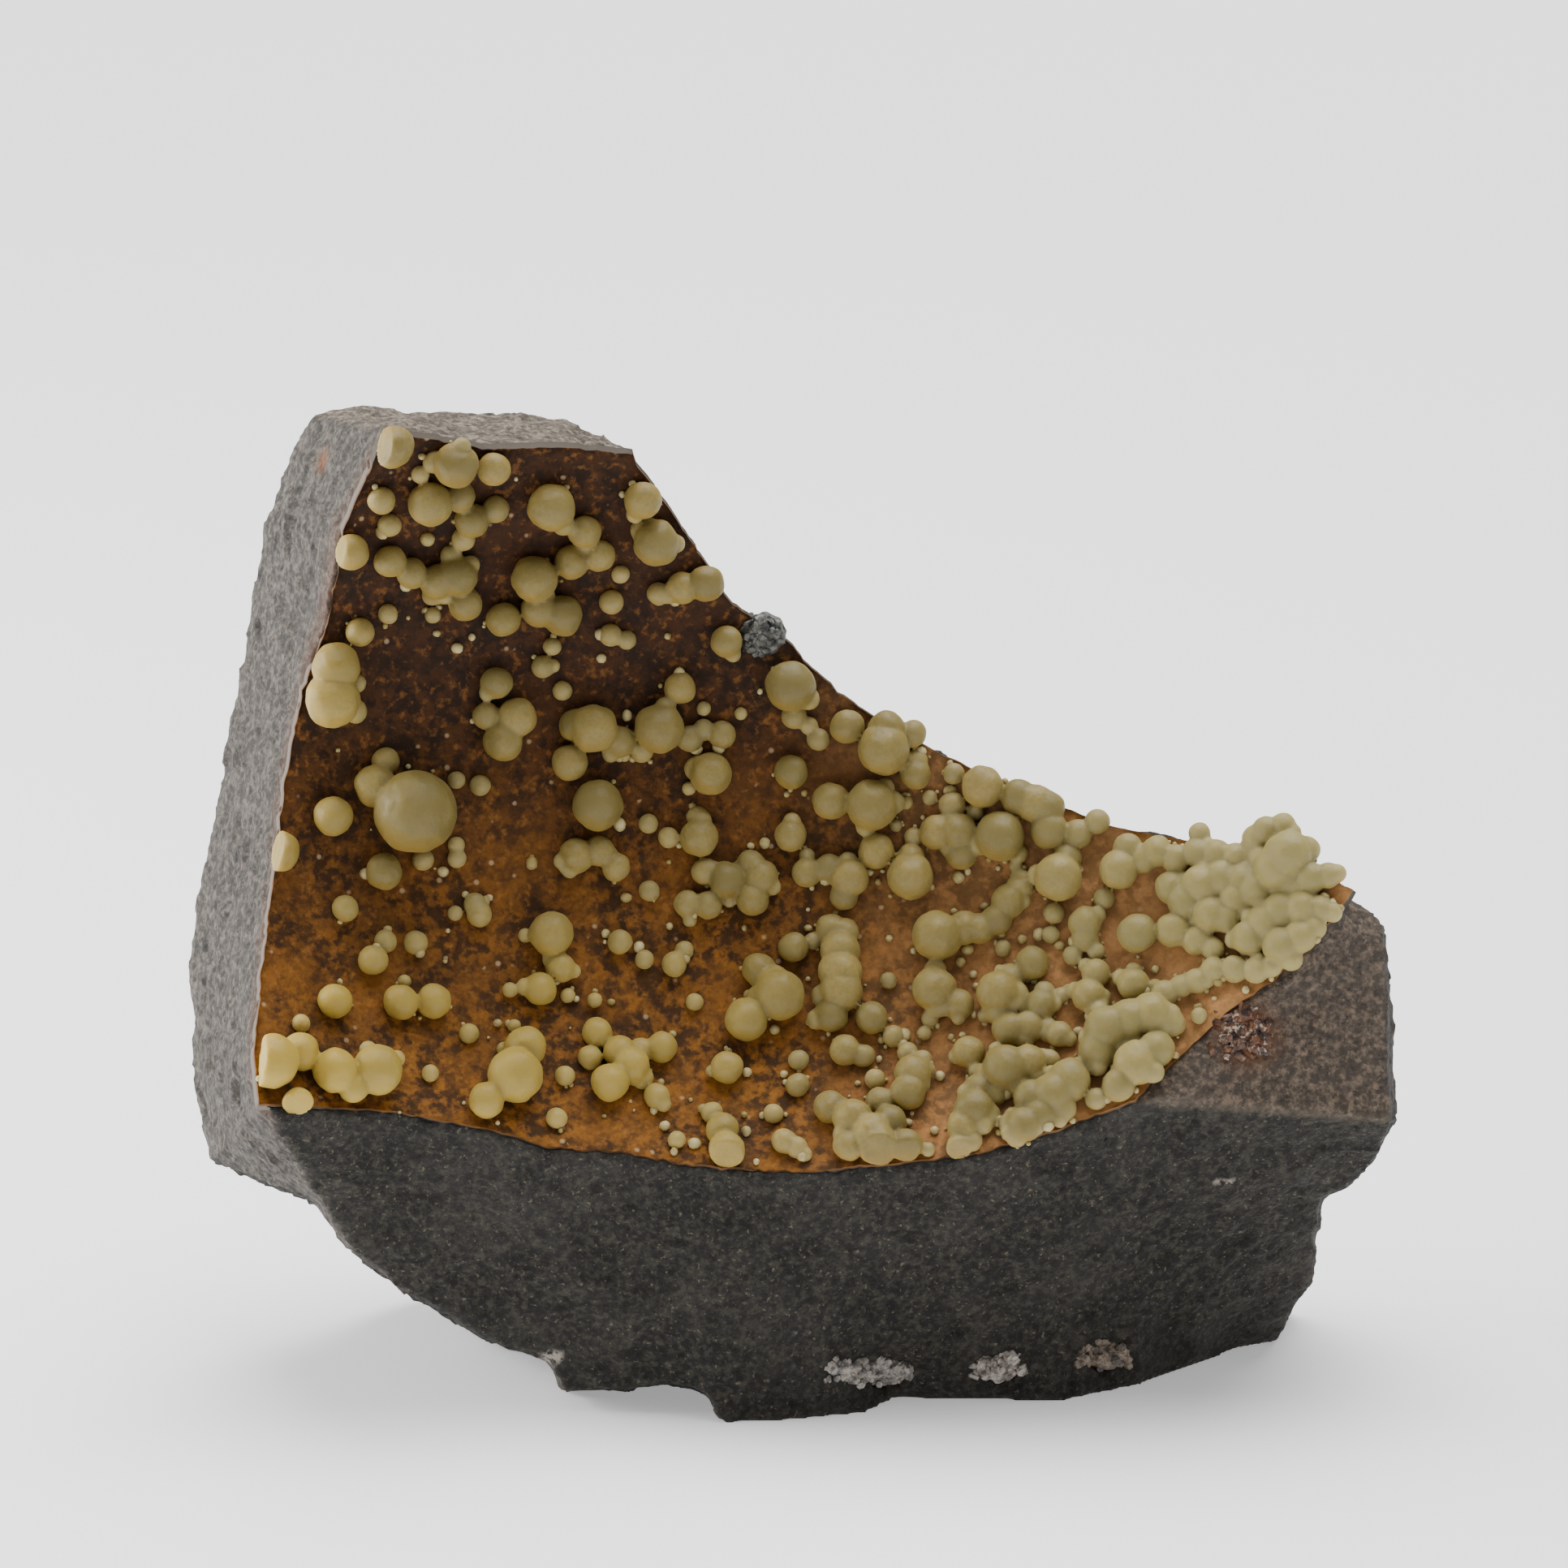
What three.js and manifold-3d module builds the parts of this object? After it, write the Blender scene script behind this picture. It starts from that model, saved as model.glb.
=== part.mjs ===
// A hand specimen of calcite: a broken lump of basalt that holds part of the wall of a gas hollow. The wall is
// covered by one thin iron-stained crust, and the crust carries yellow-green calcite balls. The rock stands on
// its flat underside, with the hollow facing -Y. Millimetres, +Z up, origin at the centre of the footprint.

import * as THREE from 'three';
import Module from 'manifold-3d';
import { ImprovedNoise } from 'three/addons/math/ImprovedNoise.js';
import { mergeVertices } from 'three/addons/utils/BufferGeometryUtils.js';

const wasm = await Module();
wasm.setup();

// The specimen is measured as seen from the front, from a little above: "across" is to the right and "up" is
// upward on a sighting plane through the aim point, and both are in real millimetres there.
const sight = { elevation: 15, distance: 900, aim: new THREE.Vector3(-0.6, 15, 68), aimUp: 69.3 };

// The hollow is an ellipsoid, and only the part of its wall behind and below the centre is left.
const hollow = { centre: new THREE.Vector3(0, -35, 81), half: new THREE.Vector3(95, 60, 60) };
const crustThickness = 1.0;
const fitGap = 0.3; // free space between the crust and the rock that carries it

const roughness = 0.6; // how far the broken faces wander from flat

const rockColour = 0x4b4844;
const calciteColour = 0xb3a56c;
const zeoliteColour = 0xcfc8bd;
const rustColour = 0x7a4a2c;

// Side of the rock as seen from the front: [across, up], clockwise from the top left corner. Its underside is
// left open, because the rock ends there on its flat base, apart from the break at the lower left.
const outline = [
  [-51.6, 109.4], [-46.8, 112.0], [-10.0, 112.0], [40.0, 100.0], [60.0, 80.0], [61.5, 58.5],
  [63.0, 56.6], [64.2, 54.0], [64.8, 46.0], [64.9, 38.9], [65.2, 33.2], [63.2, 28.8], [60.4, 25.9],
  [57.7, 25.0], [56.9, 20.0], [56.2, 15.4], [54.4, 12.5], [52.9, 8.9], [50.0, -45.0], [-6.0, -45.0],
  [-7.2, 0.1], [-9.2, 3.3], [-12.9, 4.5], [-17.0, 3.9], [-24.9, 3.5], [-25.7, 6.6], [-32.8, 9.2],
  [-36.3, 11.6], [-41.0, 14.4], [-47.7, 18.9],
  [-51.7, 24.2], [-57.0, 26.2], [-62.7, 29.0], [-64.4, 40.0], [-65.4, 50.5], [-64.6, 58.5], [-62.0, 68.5],
  [-60.6, 73.4], [-59.2, 81.0], [-58.3, 89.5], [-56.9, 98.0], [-54.4, 104.5],
];

// How the outline carries on towards the back of the rock
const outlineRings = [
  { depth: -45, scale: 1.0 },
  { depth: -12, scale: 1.0 },
  { depth: 4, scale: 1.0 },
  { depth: 20, scale: 1.0 },
  { depth: 37, scale: 1.0 },
  { depth: 46, scale: 0.95 },
  { depth: 53, scale: 0.86 },
  { depth: 62, scale: 0.7 },
];
const outlineMiddle = { across: -6, up: 48 };

// Broken faces that meet the hollow's rim. Each row is one place along the rim, [across, up], and then the
// place that the face runs to: [across, up, depth], or [across, up] for a place on the base.
const frontFace = [
  [[-57.4, 34.7], [-57.0, 1.0, 10]],
  [[-43.3, 34.0], [-42.0, 1.0, 9]],
  [[-32.8, 32.1], [-31.0, 1.5, 9]],
  [[-26.0, 30.0], [-24.9, 3.5, 4]],
  [[-18.5, 29.6], [-17.0, 3.9, 3]],
  [[-12.5, 28.4], [-12.9, 4.5, 2]],
  [[-8.5, 28.0], [-9.2, 3.3, 1]],
  [[-6.0, 27.8], [-7.2, 0.1]],
  [[0.3, 27.4], [0.0, 0.4]],
  [[7.0, 27.9], [8.2, 1.2]],
  [[12.0, 28.3], [11.5, 2.8]],
  [[20.0, 29.3], [20.2, 2.7]],
  [[29.0, 31.9], [29.0, 2.4]],
  [[37.3, 35.1], [37.8, 4.2]],
  [[46.2, 34.3, -0.6], [43.5, 6.2]],
  [[55.5, 34.1, -0.2], [48.6, 8.2]],
  [[65.3, 32.9, 0.7], [53.0, 9.0]],
];
const leftFace = [
  [[-57.4, 34.7], [-62.9, 28.9, 22]],
  [[-58.0, 40.3], [-64.2, 40.0, 27]],
  [[-56.9, 50.4], [-65.3, 50.5, 31]],
  [[-55.9, 58.7], [-64.6, 57.6, 33]],
  [[-54.7, 68.8], [-61.9, 69.0, 35]],
  [[-52.7, 79.2], [-60.2, 79.4, 36]],
  [[-49.8, 87.2], [-58.4, 88.5, 36]],
  [[-48.2, 96.8], [-56.7, 97.0, 36]],
  [[-44.9, 104.6], [-53.8, 105.0, 36]],
  [[-43.9, 107.2], [-51.4, 109.2, 36]],
];
const topFace = [
  [[-50.0, 107.0], [-50.3, 109.4, 35]],
  [[-44.0, 107.6], [-46.8, 110.2, 36]],
  [[-38.6, 106.6], [-41.8, 109.3, 37]],
  [[-33.2, 105.5], [-32.8, 109.1, 37]],
  [[-24.0, 105.7], [-24.4, 108.2, 37]],
  [[-16.6, 104.9], [-17.3, 105.2, 36]],
];
const rightFace = [
  [[37.3, 35.1], [65.3, 32.9, 0.7]],
  [[41.5, 39.0], [65.0, 38.9, 3]],
  [[47.0, 44.5], [64.8, 43.5, 5]],
  [[52.2, 47.8], [64.6, 48.0, 7]],
  [[57.0, 52.5], [64.3, 52.6, 9]],
  [[60.9, 57.9], [63.2, 56.8, 13]],
];
// The conchoidal bite that took the upper right of the hollow's wall away: its rim, and its far end behind
const bite = [
  [[-17.2, 108.5], [-18.0, 108.0, 62]],
  [[-16.4, 103.6], [-18.0, 101.0, 62]],
  [[-13.2, 99.2], [-16.5, 94.5, 62]],
  [[-10.2, 94.8], [-14.5, 89.0, 62]],
  [[-6.2, 88.6], [-11.0, 83.0, 62]],
  [[-0.9, 85.4], [-7.0, 78.0, 62]],
  [[2.4, 81.7], [-3.0, 74.0, 62]],
  [[7.4, 77.6], [2.0, 70.0, 62]],
  [[15.0, 73.2], [10.0, 65.5, 62]],
  [[24.8, 68.6], [21.0, 61.0, 62]],
  [[35.0, 64.7], [33.0, 57.5, 62]],
  [[47.5, 62.4], [45.0, 55.5, 62]],
  [[55.5, 61.0], [53.0, 53.5, 62]],
  [[61.0, 57.6], [60.0, 50.0, 62]],
];

// Broken faces at the back, each through a point and facing a direction
const backFaces = [
  { point: [0, 51, 50], facing: [0.04, 1, 0.04] },
  { point: [-30, 46, 92], facing: [-0.1, 0.9, 0.42] },
  { point: [48, 40, 40], facing: [0.55, 0.85, 0.1] },
  { point: [-52, 44, 60], facing: [-0.62, 0.78, -0.12] },
  { point: [0, 49, 10], facing: [0.1, 0.95, -0.3] },
];
const backStep = 15; // spacing of the points that make a back face uneven

// Calcite balls: [across, up, radius]
const balls = [
  // upper left
  [-43.0, 105.8, 2.3], [-36.1, 103.8, 2.45], [-38.5, 104.2, 1.2], [-40.0, 102.8, 1.0],
  [-38.9, 99.6, 2.4], [-35.9, 100.3, 1.8], [-32.0, 103.4, 1.8], [-34.4, 97.8, 1.9],
  [-31.8, 99.0, 1.5], [-25.8, 99.2, 2.6], [-44.2, 100.0, 1.5], [-43.3, 97.3, 1.3],
  [-47.5, 94.4, 1.95], [-43.2, 93.4, 1.75], [-40.9, 92.1, 1.7], [-38.2, 91.2, 1.9],
  [-36.0, 91.8, 2.2], [-36.6, 94.0, 1.2], [-35.1, 88.8, 1.9], [-38.6, 89.8, 1.2],
  [-35.3, 95.8, 1.3], [-43.5, 87.7, 1.1], [-46.5, 85.7, 1.6], [-27.6, 91.5, 2.5],
  [-31.0, 87.1, 1.9], [-24.6, 87.5, 2.2], [-27.1, 88.6, 2.1], [-22.2, 96.6, 1.8],
  [-23.6, 93.3, 1.9], [-20.6, 94.0, 1.75], [-18.3, 92.0, 1.0], [-15.9, 100.0, 2.0],
  [-14.4, 95.4, 2.5], [-16.0, 97.0, 1.3], [-14.2, 89.9, 1.25], [-11.7, 90.5, 1.75],
  [-9.0, 91.0, 2.0], [-19.3, 89.0, 1.35], [-19.4, 85.4, 1.25], [-17.6, 84.9, 1.05],
  [-6.8, 84.7, 1.75], [-26.7, 82.0, 1.25], [-25.8, 84.2, 1.0],
  // left
  [-49.1, 82.0, 2.7], [-49.5, 78.4, 3.0], [-46.8, 80.2, 1.1], [-47.1, 77.2, 1.3],
  [-31.7, 80.2, 1.75], [-24.6, 79.4, 1.1], [-32.8, 76.7, 1.5], [-29.5, 76.5, 2.15],
  [-31.0, 73.9, 2.15], [-43.7, 71.8, 1.5], [-44.8, 69.1, 2.3], [-40.5, 66.3, 4.5],
  [-39.7, 61.1, 1.2], [-36.1, 69.7, 1.0], [-33.5, 69.1, 1.15], [-49.4, 65.8, 2.1],
  [-55.2, 62.0, 2.2], [-43.9, 59.8, 2.0], [-36.0, 61.2, 1.05], [-23.1, 61.5, 1.9],
  [-20.5, 61.9, 1.7], [-18.8, 60.3, 1.6],
  // middle
  [-23.2, 75.6, 1.8], [-21.2, 75.3, 2.65], [-18.4, 73.9, 1.8], [-23.8, 71.6, 2.0],
  [-20.8, 67.0, 2.75], [-14.1, 75.3, 2.7], [-16.0, 72.9, 1.3], [-10.8, 74.2, 1.5],
  [-9.3, 75.1, 1.2], [-7.3, 74.6, 1.55], [-11.9, 79.7, 1.75], [0.1, 79.9, 2.75],
  [0.5, 76.6, 1.4], [2.1, 75.6, 1.0], [3.1, 74.1, 1.25], [6.2, 75.5, 1.9],
  [10.4, 75.2, 2.4], [10.1, 72.6, 2.7], [13.3, 74.4, 1.5], [13.6, 70.6, 1.8],
  [-8.5, 70.4, 2.3], [-10.0, 71.0, 1.4], [0.2, 70.6, 1.85], [4.5, 67.4, 2.05],
  [8.9, 67.0, 2.8], [0.1, 63.7, 1.8], [-15.3, 65.0, 1.1], [-13.1, 63.5, 1.15],
  [-9.8, 63.5, 2.1], [-10.0, 65.7, 1.2], [-9.2, 59.8, 1.5], [-6.8, 58.9, 2.0],
  [-4.2, 60.6, 1.6], [-3.1, 59.2, 1.9], [-15.2, 57.7, 1.15], [1.8, 59.7, 1.6],
  [4.3, 60.2, 1.6], [6.5, 59.1, 2.1], [5.9, 57.2, 1.6], [9.4, 62.0, 2.0],
  [-11.3, 56.5, 1.35], [-8.8, 56.1, 1.55], [-4.2, 56.3, 1.75],
  // lower left
  [-48.1, 55.8, 1.45], [-43.8, 52.3, 1.25], [-45.1, 50.2, 1.65], [-40.5, 52.1, 1.3],
  [-33.6, 55.2, 1.4], [-34.1, 56.4, 1.2], [-49.2, 45.8, 1.85], [-42.1, 45.7, 1.9],
  [-38.5, 45.8, 1.9], [-25.8, 53.1, 2.45], [-24.8, 49.4, 1.65], [-27.0, 47.1, 1.8],
  [-52.9, 43.4, 1.0], [-56.0, 39.3, 2.9], [-53.0, 40.3, 2.1], [-49.2, 38.3, 2.4],
  [-47.2, 36.5, 1.7], [-44.6, 38.4, 2.7], [-53.2, 34.8, 1.65], [-34.7, 42.3, 1.1],
  [-28.6, 40.8, 2.3], [-29.7, 37.8, 3.0], [-32.8, 35.1, 1.95], [-24.3, 37.7, 1.1],
  [-25.2, 33.1, 1.15],
  // lower middle
  [-18.4, 52.2, 1.4], [-15.7, 50.3, 1.05], [-12.6, 49.8, 1.45], [-11.3, 51.3, 1.0],
  [-10.3, 45.7, 1.0], [-3.5, 49.3, 1.75], [-1.0, 46.9, 2.9], [-4.3, 44.2, 2.6],
  [0.5, 51.5, 1.6], [4.1, 53.8, 1.5], [5.4, 52.4, 2.0], [5.6, 49.9, 2.55],
  [5.6, 47.4, 2.55], [4.6, 44.6, 2.0], [8.8, 44.0, 1.8], [11.3, 42.1, 1.25],
  [10.7, 48.0, 1.0], [-20.8, 42.4, 1.65], [-21.7, 39.7, 1.3], [-18.4, 40.2, 1.9],
  [-19.0, 37.5, 2.45], [-16.3, 38.3, 2.0], [-15.6, 40.5, 1.4], [-13.6, 40.7, 1.6],
  [-14.4, 35.4, 1.45], [-6.7, 38.6, 1.8], [1.0, 39.4, 1.15], [1.0, 36.7, 1.3],
  [6.2, 40.4, 1.65], [7.9, 39.9, 1.5], [9.2, 37.0, 1.25], [4.8, 34.0, 2.0],
  [6.7, 32.7, 2.2], [9.4, 34.4, 1.7], [9.9, 31.7, 2.1], [11.4, 33.4, 1.5],
  [5.1, 29.9, 1.6], [8.2, 29.8, 1.8], [11.0, 30.0, 1.8], [13.2, 29.9, 1.3],
  [-8.5, 33.7, 1.15], [-7.4, 31.4, 1.95], [-6.5, 29.6, 2.1], [-1.7, 33.5, 1.1],
  [-0.4, 30.5, 1.55], [1.3, 29.7, 1.3], [-12.3, 30.8, 1.05],
  // right
  [17.7, 70.4, 1.2], [21.0, 69.2, 2.2], [17.7, 66.9, 1.7], [20.0, 66.3, 1.0],
  [16.9, 64.6, 2.5], [18.3, 61.8, 1.8], [13.4, 63.7, 1.0], [22.8, 64.4, 2.9],
  [24.4, 63.4, 2.1], [24.6, 60.8, 1.0], [24.3, 66.9, 1.8], [26.4, 67.4, 1.5],
  [28.8, 67.4, 1.2], [28.0, 64.6, 2.3], [31.3, 64.1, 1.6], [33.0, 65.3, 1.4],
  [13.1, 59.0, 2.5], [13.2, 61.3, 1.7], [29.2, 59.3, 2.75], [30.0, 61.5, 1.7],
  [24.1, 57.5, 2.1], [23.0, 55.4, 1.9], [25.0, 58.6, 1.3], [34.0, 57.0, 1.25],
  [35.4, 59.6, 2.2], [28.4, 55.2, 1.35], [15.9, 53.1, 2.6], [17.8, 53.4, 2.2],
  [20.5, 53.6, 1.7], [31.7, 53.6, 2.1], [31.9, 51.9, 1.9], [28.1, 52.9, 1.5],
  [15.3, 47.0, 2.4], [18.2, 45.2, 1.6], [23.1, 51.5, 1.0], [26.1, 49.9, 1.85],
  [23.6, 48.3, 1.4], [22.6, 46.6, 2.2], [22.1, 44.5, 1.3], [33.0, 48.8, 1.7],
  [32.4, 46.9, 2.0], [29.3, 46.6, 1.0], [27.0, 45.4, 1.55], [24.4, 43.7, 2.0],
  [27.1, 43.2, 1.4], [29.3, 42.3, 1.4], [19.6, 40.4, 1.75], [12.8, 40.4, 1.25],
  [13.6, 38.2, 1.8], [12.7, 36.2, 1.9], [9.6, 35.6, 1.3], [23.5, 40.6, 2.3],
  [25.7, 39.6, 2.1], [22.0, 38.2, 2.0], [23.6, 37.2, 1.6], [21.3, 36.2, 1.8],
  [20.4, 34.2, 1.9], [19.0, 32.7, 1.7], [18.6, 30.9, 1.4], [30.8, 37.8, 2.0],
  [28.7, 36.3, 2.4], [26.3, 36.0, 2.1], [29.5, 34.6, 2.1], [27.3, 33.9, 1.8],
  [25.2, 32.9, 2.0], [32.3, 35.2, 1.2],
  // intergrown crust at the far right
  [33.5, 42.3, 2.1], [33.8, 40.3, 1.7], [36.3, 43.3, 2.9], [36.3, 45.4, 2.0],
  [39.2, 43.8, 2.8], [41.2, 42.4, 1.6], [38.1, 40.8, 2.4], [36.6, 39.0, 2.2],
  [39.7, 41.0, 1.8], [36.8, 37.0, 1.6], [34.6, 36.2, 1.3], [37.2, 47.8, 1.8],
  [39.6, 46.8, 1.5], [41.8, 47.4, 1.4], [44.0, 48.1, 1.4], [46.4, 49.1, 1.5],
  [48.8, 49.4, 1.5], [51.4, 50.2, 1.7], [53.3, 51.8, 1.9], [55.1, 53.5, 1.8],
  [57.6, 55.2, 1.4], [36.8, 62.2, 1.8], [39.6, 61.7, 2.1], [42.3, 61.5, 2.0],
  [44.2, 63.6, 1.3], [46.5, 61.8, 1.9], [48.8, 61.9, 1.6], [51.4, 63.4, 1.9],
  [53.3, 64.0, 1.6], [54.6, 61.9, 1.9], [52.3, 61.0, 2.2], [57.0, 60.8, 1.4],
  [58.9, 59.2, 1.2], [56.4, 59.0, 1.9], [53.6, 58.6, 1.9], [50.5, 58.9, 2.0],
  [47.5, 58.9, 2.2], [44.2, 59.2, 2.2], [41.5, 57.8, 2.2], [43.5, 55.9, 2.1],
  [46.5, 56.3, 2.2], [41.5, 54.0, 2.1], [37.6, 53.6, 2.15], [45.0, 53.2, 1.9],
  [46.2, 51.9, 1.3], [50.9, 54.3, 2.2], [53.5, 55.6, 2.1], [49.4, 52.4, 1.6],
  [56.2, 55.8, 1.8],
];
const ballRoot = 0.8; // how deep a ball reaches into the crust, at most
const wideBall = 3.1; // from this radius up a ball has more faces
const smallBall = 2.6; // below this radius it has fewer
const leastBall = 1.95; // smaller balls aren't modelled here

// Small crystalline patches in shallow hollows of the broken faces: centre [across, up], half sizes across,
// inward and up, and how far the middle of the patch stands out of the rock
const patches = [
  { name: 'zeolite_patch_left', at: [10.3, 5.6], half: [3.2, 1.6, 2.0], proud: 0.6, colour: zeoliteColour },
  { name: 'zeolite_patch_middle', at: [22.6, 5.9], half: [2.8, 1.6, 1.9], proud: 0.6, colour: zeoliteColour },
  { name: 'zeolite_patch_right', at: [34.0, 7.2], half: [2.8, 1.6, 2.0], proud: 0.6, colour: zeoliteColour },
  { name: 'rusty_crystal_patch', at: [49.1, 41.8], half: [3.6, 2.2, 3.5], proud: -0.3, colour: rustColour },
];
const grainRadius = 0.65; // half the width of one grain on a patch
const grainCount = 5;

const axisUp = new THREE.Vector3(0, 0, 1);
const elevation = THREE.MathUtils.degToRad(sight.elevation);
const sightUp = new THREE.Vector3(0, Math.sin(elevation), Math.cos(elevation));
const sightAlong = new THREE.Vector3(0, Math.cos(elevation), -Math.sin(elevation));
const eye = sight.aim.clone().addScaledVector(sightAlong, -sight.distance);
const heart = new THREE.Vector3(0, 30, 40);

// Direction from the eye through a place on the sighting plane
function sightLine(across, up) {
  const seen = sight.aim.clone().addScaledVector(sightUp, up - sight.aimUp);
  seen.x = across;
  return seen.sub(eye);
}

// The point seen there that lies at the given depth along Y
function atDepth(across, up, depth) {
  const line = sightLine(across, up);
  return eye.clone().addScaledVector(line, (depth - eye.y) / line.y);
}

// The point seen there on the hollow's wall, or on a smaller ellipsoid that stands "lift" off the wall
function onWall(across, up, lift = 0) {
  const half = hollow.half.clone().subScalar(lift);
  const line = sightLine(across, up).divide(half);
  const start = eye.clone().sub(hollow.centre).divide(half);
  const a = line.dot(line);
  const b = start.dot(line);
  const c = start.dot(start) - 1;
  const reach = (-b + Math.sqrt(Math.max(b * b - a * c, 0))) / a;
  return eye.clone().addScaledVector(sightLine(across, up), reach);
}

// The point seen there on the level ground that the rock stands on
function onBase(across, up) {
  const line = sightLine(across, up);
  return eye.clone().addScaledVector(line, -eye.z / line.z);
}

// A solid for cutting and joining, from a closed three.js geometry
function solid(geometry) {
  const bare = geometry.index ? geometry.toNonIndexed() : geometry.clone();
  bare.deleteAttribute('normal');
  bare.deleteAttribute('uv');
  const merged = mergeVertices(bare, 1e-4);
  const vertProperties = new Float32Array(merged.attributes.position.array);
  const triVerts = new Uint32Array(merged.index.array);
  return new wasm.Manifold(new wasm.Mesh({ numProp: 3, vertProperties, triVerts }));
}

// Back from a solid to a three.js geometry
function shape(body) {
  const { vertProperties, triVerts } = body.getMesh();
  const geometry = new THREE.BufferGeometry();
  geometry.setAttribute('position', new THREE.BufferAttribute(vertProperties, 3));
  geometry.setIndex(new THREE.BufferAttribute(triVerts, 1));
  return geometry;
}

// The main body of a solid, without the chips that a cut leaves loose and the voids shut in between balls
function mainBody(body) {
  return body.decompose().reduce((best, one) => (one.volume() > best.volume() ? one : best));
}

// An ellipsoid of the hollow's form, grown by "grow" all round
function hollowBody(grow) {
  const geometry = new THREE.SphereGeometry(1, 26, 15);
  geometry.scale(hollow.half.x + grow, hollow.half.y + grow, hollow.half.z + grow);
  geometry.translate(...hollow.centre);
  return solid(geometry);
}

// A closed block from a sheet of points, rows of equal length, thick towards "outward"
function block(rows, outward) {
  const wide = rows[0].length;
  const sheet = rows.flat();
  const places = [...sheet, ...sheet.map((p) => p.clone().add(outward))].flatMap((p) => p.toArray());
  const faces = [];
  const quad = (a, b, c, d) => faces.push(a, b, c, a, c, d);
  for (let r = 0; r + 1 < rows.length; r += 1) {
    for (let c = 0; c + 1 < wide; c += 1) {
      const a = r * wide + c;
      quad(a, a + 1, a + wide + 1, a + wide);
      quad(sheet.length + a, sheet.length + a + wide, sheet.length + a + wide + 1, sheet.length + a + 1);
    }
  }
  const rim = [];
  for (let c = 0; c < wide; c += 1) rim.push(c);
  for (let r = 1; r < rows.length; r += 1) rim.push(r * wide + wide - 1);
  for (let c = wide - 2; c >= 0; c -= 1) rim.push((rows.length - 1) * wide + c);
  for (let r = rows.length - 2; r > 0; r -= 1) rim.push(r * wide);
  rim.forEach((a, k) => {
    const b = rim[(k + 1) % rim.length];
    quad(b, a, sheet.length + a, sheet.length + b);
  });
  const geometry = new THREE.BufferGeometry();
  geometry.setAttribute('position', new THREE.Float32BufferAttribute(places, 3));
  geometry.setIndex(faces);
  const body = solid(geometry);
  if (body.volume() > 0) return body;
  geometry.setIndex(faces.reverse());
  return solid(geometry);
}

// How far broken rock wanders from its mean surface at a point
const noise = new ImprovedNoise();
function wander(p) {
  return roughness * (noise.noise(p.x / 21, p.y / 21, p.z / 21) + 0.7 * noise.noise(p.x / 8, p.y / 8, p.z / 8));
}

// What a broken face takes away: a sheet ruled from the rim to the far places, and everything outside it
function brokenFace(places, outward, carriedOn) {
  const near = places.map(([rim]) => (rim.length > 2 ? atDepth(...rim) : onWall(...rim)));
  const far = places.map(([, end]) => (end.length > 2 ? atDepth(...end) : onBase(...end)));
  for (const edge of [near, far]) {
    const last = edge.length - 1;
    edge.unshift(edge[0].clone().addScaledVector(edge[0].clone().sub(edge[1]).normalize(), 40));
    edge.push(edge[last + 1].clone().addScaledVector(edge[last + 1].clone().sub(edge[last]).normalize(), 40));
  }
  const eased = far.map((p, k) => {
    const before = far[Math.max(k - 1, 0)];
    const after = far[Math.min(k + 1, far.length - 1)];
    return before.clone().add(after).add(p).multiplyScalar(1 / 3);
  });
  const stations = [carriedOn[0], 0, 0.36, 0.72, 1, carriedOn[1]];
  const rows = stations.map((share) => near.map((start, k) => {
    if (share <= 0 || share >= 1) return start.clone().lerp(far[k], share);
    const p = start.clone().lerp(eased[k], share);
    return p.addScaledVector(outward, wander(p) / outward.length());
  }));
  return block(rows, outward);
}

function backFace({ point, facing }) {
  const outward = new THREE.Vector3(...facing).setLength(90);
  const turn = new THREE.Quaternion().setFromUnitVectors(axisUp, outward.clone().normalize());
  const reach = 6;
  const rows = [];
  for (let r = -reach; r <= reach; r += 1) {
    const row = [];
    for (let c = -reach; c <= reach; c += 1) {
      const p = new THREE.Vector3(c * backStep, r * backStep, 0).applyQuaternion(turn);
      p.add(new THREE.Vector3(...point));
      row.push(p.addScaledVector(outward, (4 * wander(p)) / outward.length()));
    }
    rows.push(row);
  }
  return block(rows, outward);
}

// Everything on the far side of the plane through three points, seen from the rock's heart
function beyondPlane(points) {
  const size = 300;
  const plane = new THREE.Plane().setFromCoplanarPoints(...points);
  if (plane.distanceToPoint(heart) > 0) plane.negate();
  const box = new THREE.BoxGeometry(size, size, size);
  box.translate(0, 0, size / 2);
  box.applyQuaternion(new THREE.Quaternion().setFromUnitVectors(axisUp, plane.normal));
  box.translate(...points[0]);
  return solid(box);
}

// The outline carried from front to back through its rings, and closed at both ends
function outlineBody() {
  const turned = [...outline].reverse();
  const rings = outlineRings.map(({ depth, scale }) => turned.map(([across, up]) => {
    const p = atDepth(
      outlineMiddle.across + (across - outlineMiddle.across) * scale,
      outlineMiddle.up + (up - outlineMiddle.up) * scale,
      depth,
    );
    return p.add(new THREE.Vector3(wander(p), 0, wander(p.clone().multiplyScalar(-1))));
  }));
  const count = outline.length;
  const places = rings.flat().flatMap((p) => p.toArray());
  const faces = [];
  for (let ring = 0; ring + 1 < rings.length; ring += 1) {
    for (let i = 0; i < count; i += 1) {
      const j = (i + 1) % count;
      const [a, b, c, d] = [ring * count + i, ring * count + j, (ring + 1) * count + i, (ring + 1) * count + j];
      faces.push(b, a, c, b, c, d);
    }
  }
  const flat = turned.map(([across, up]) => new THREE.Vector2(across, up));
  const backStart = (rings.length - 1) * count;
  for (const [a, b, c] of THREE.ShapeUtils.triangulateShape(flat, [])) {
    faces.push(a, b, c);
    faces.push(backStart + a, backStart + c, backStart + b);
  }
  const geometry = new THREE.BufferGeometry();
  geometry.setAttribute('position', new THREE.Float32BufferAttribute(places, 3));
  geometry.setIndex(faces);
  return solid(geometry);
}

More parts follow.
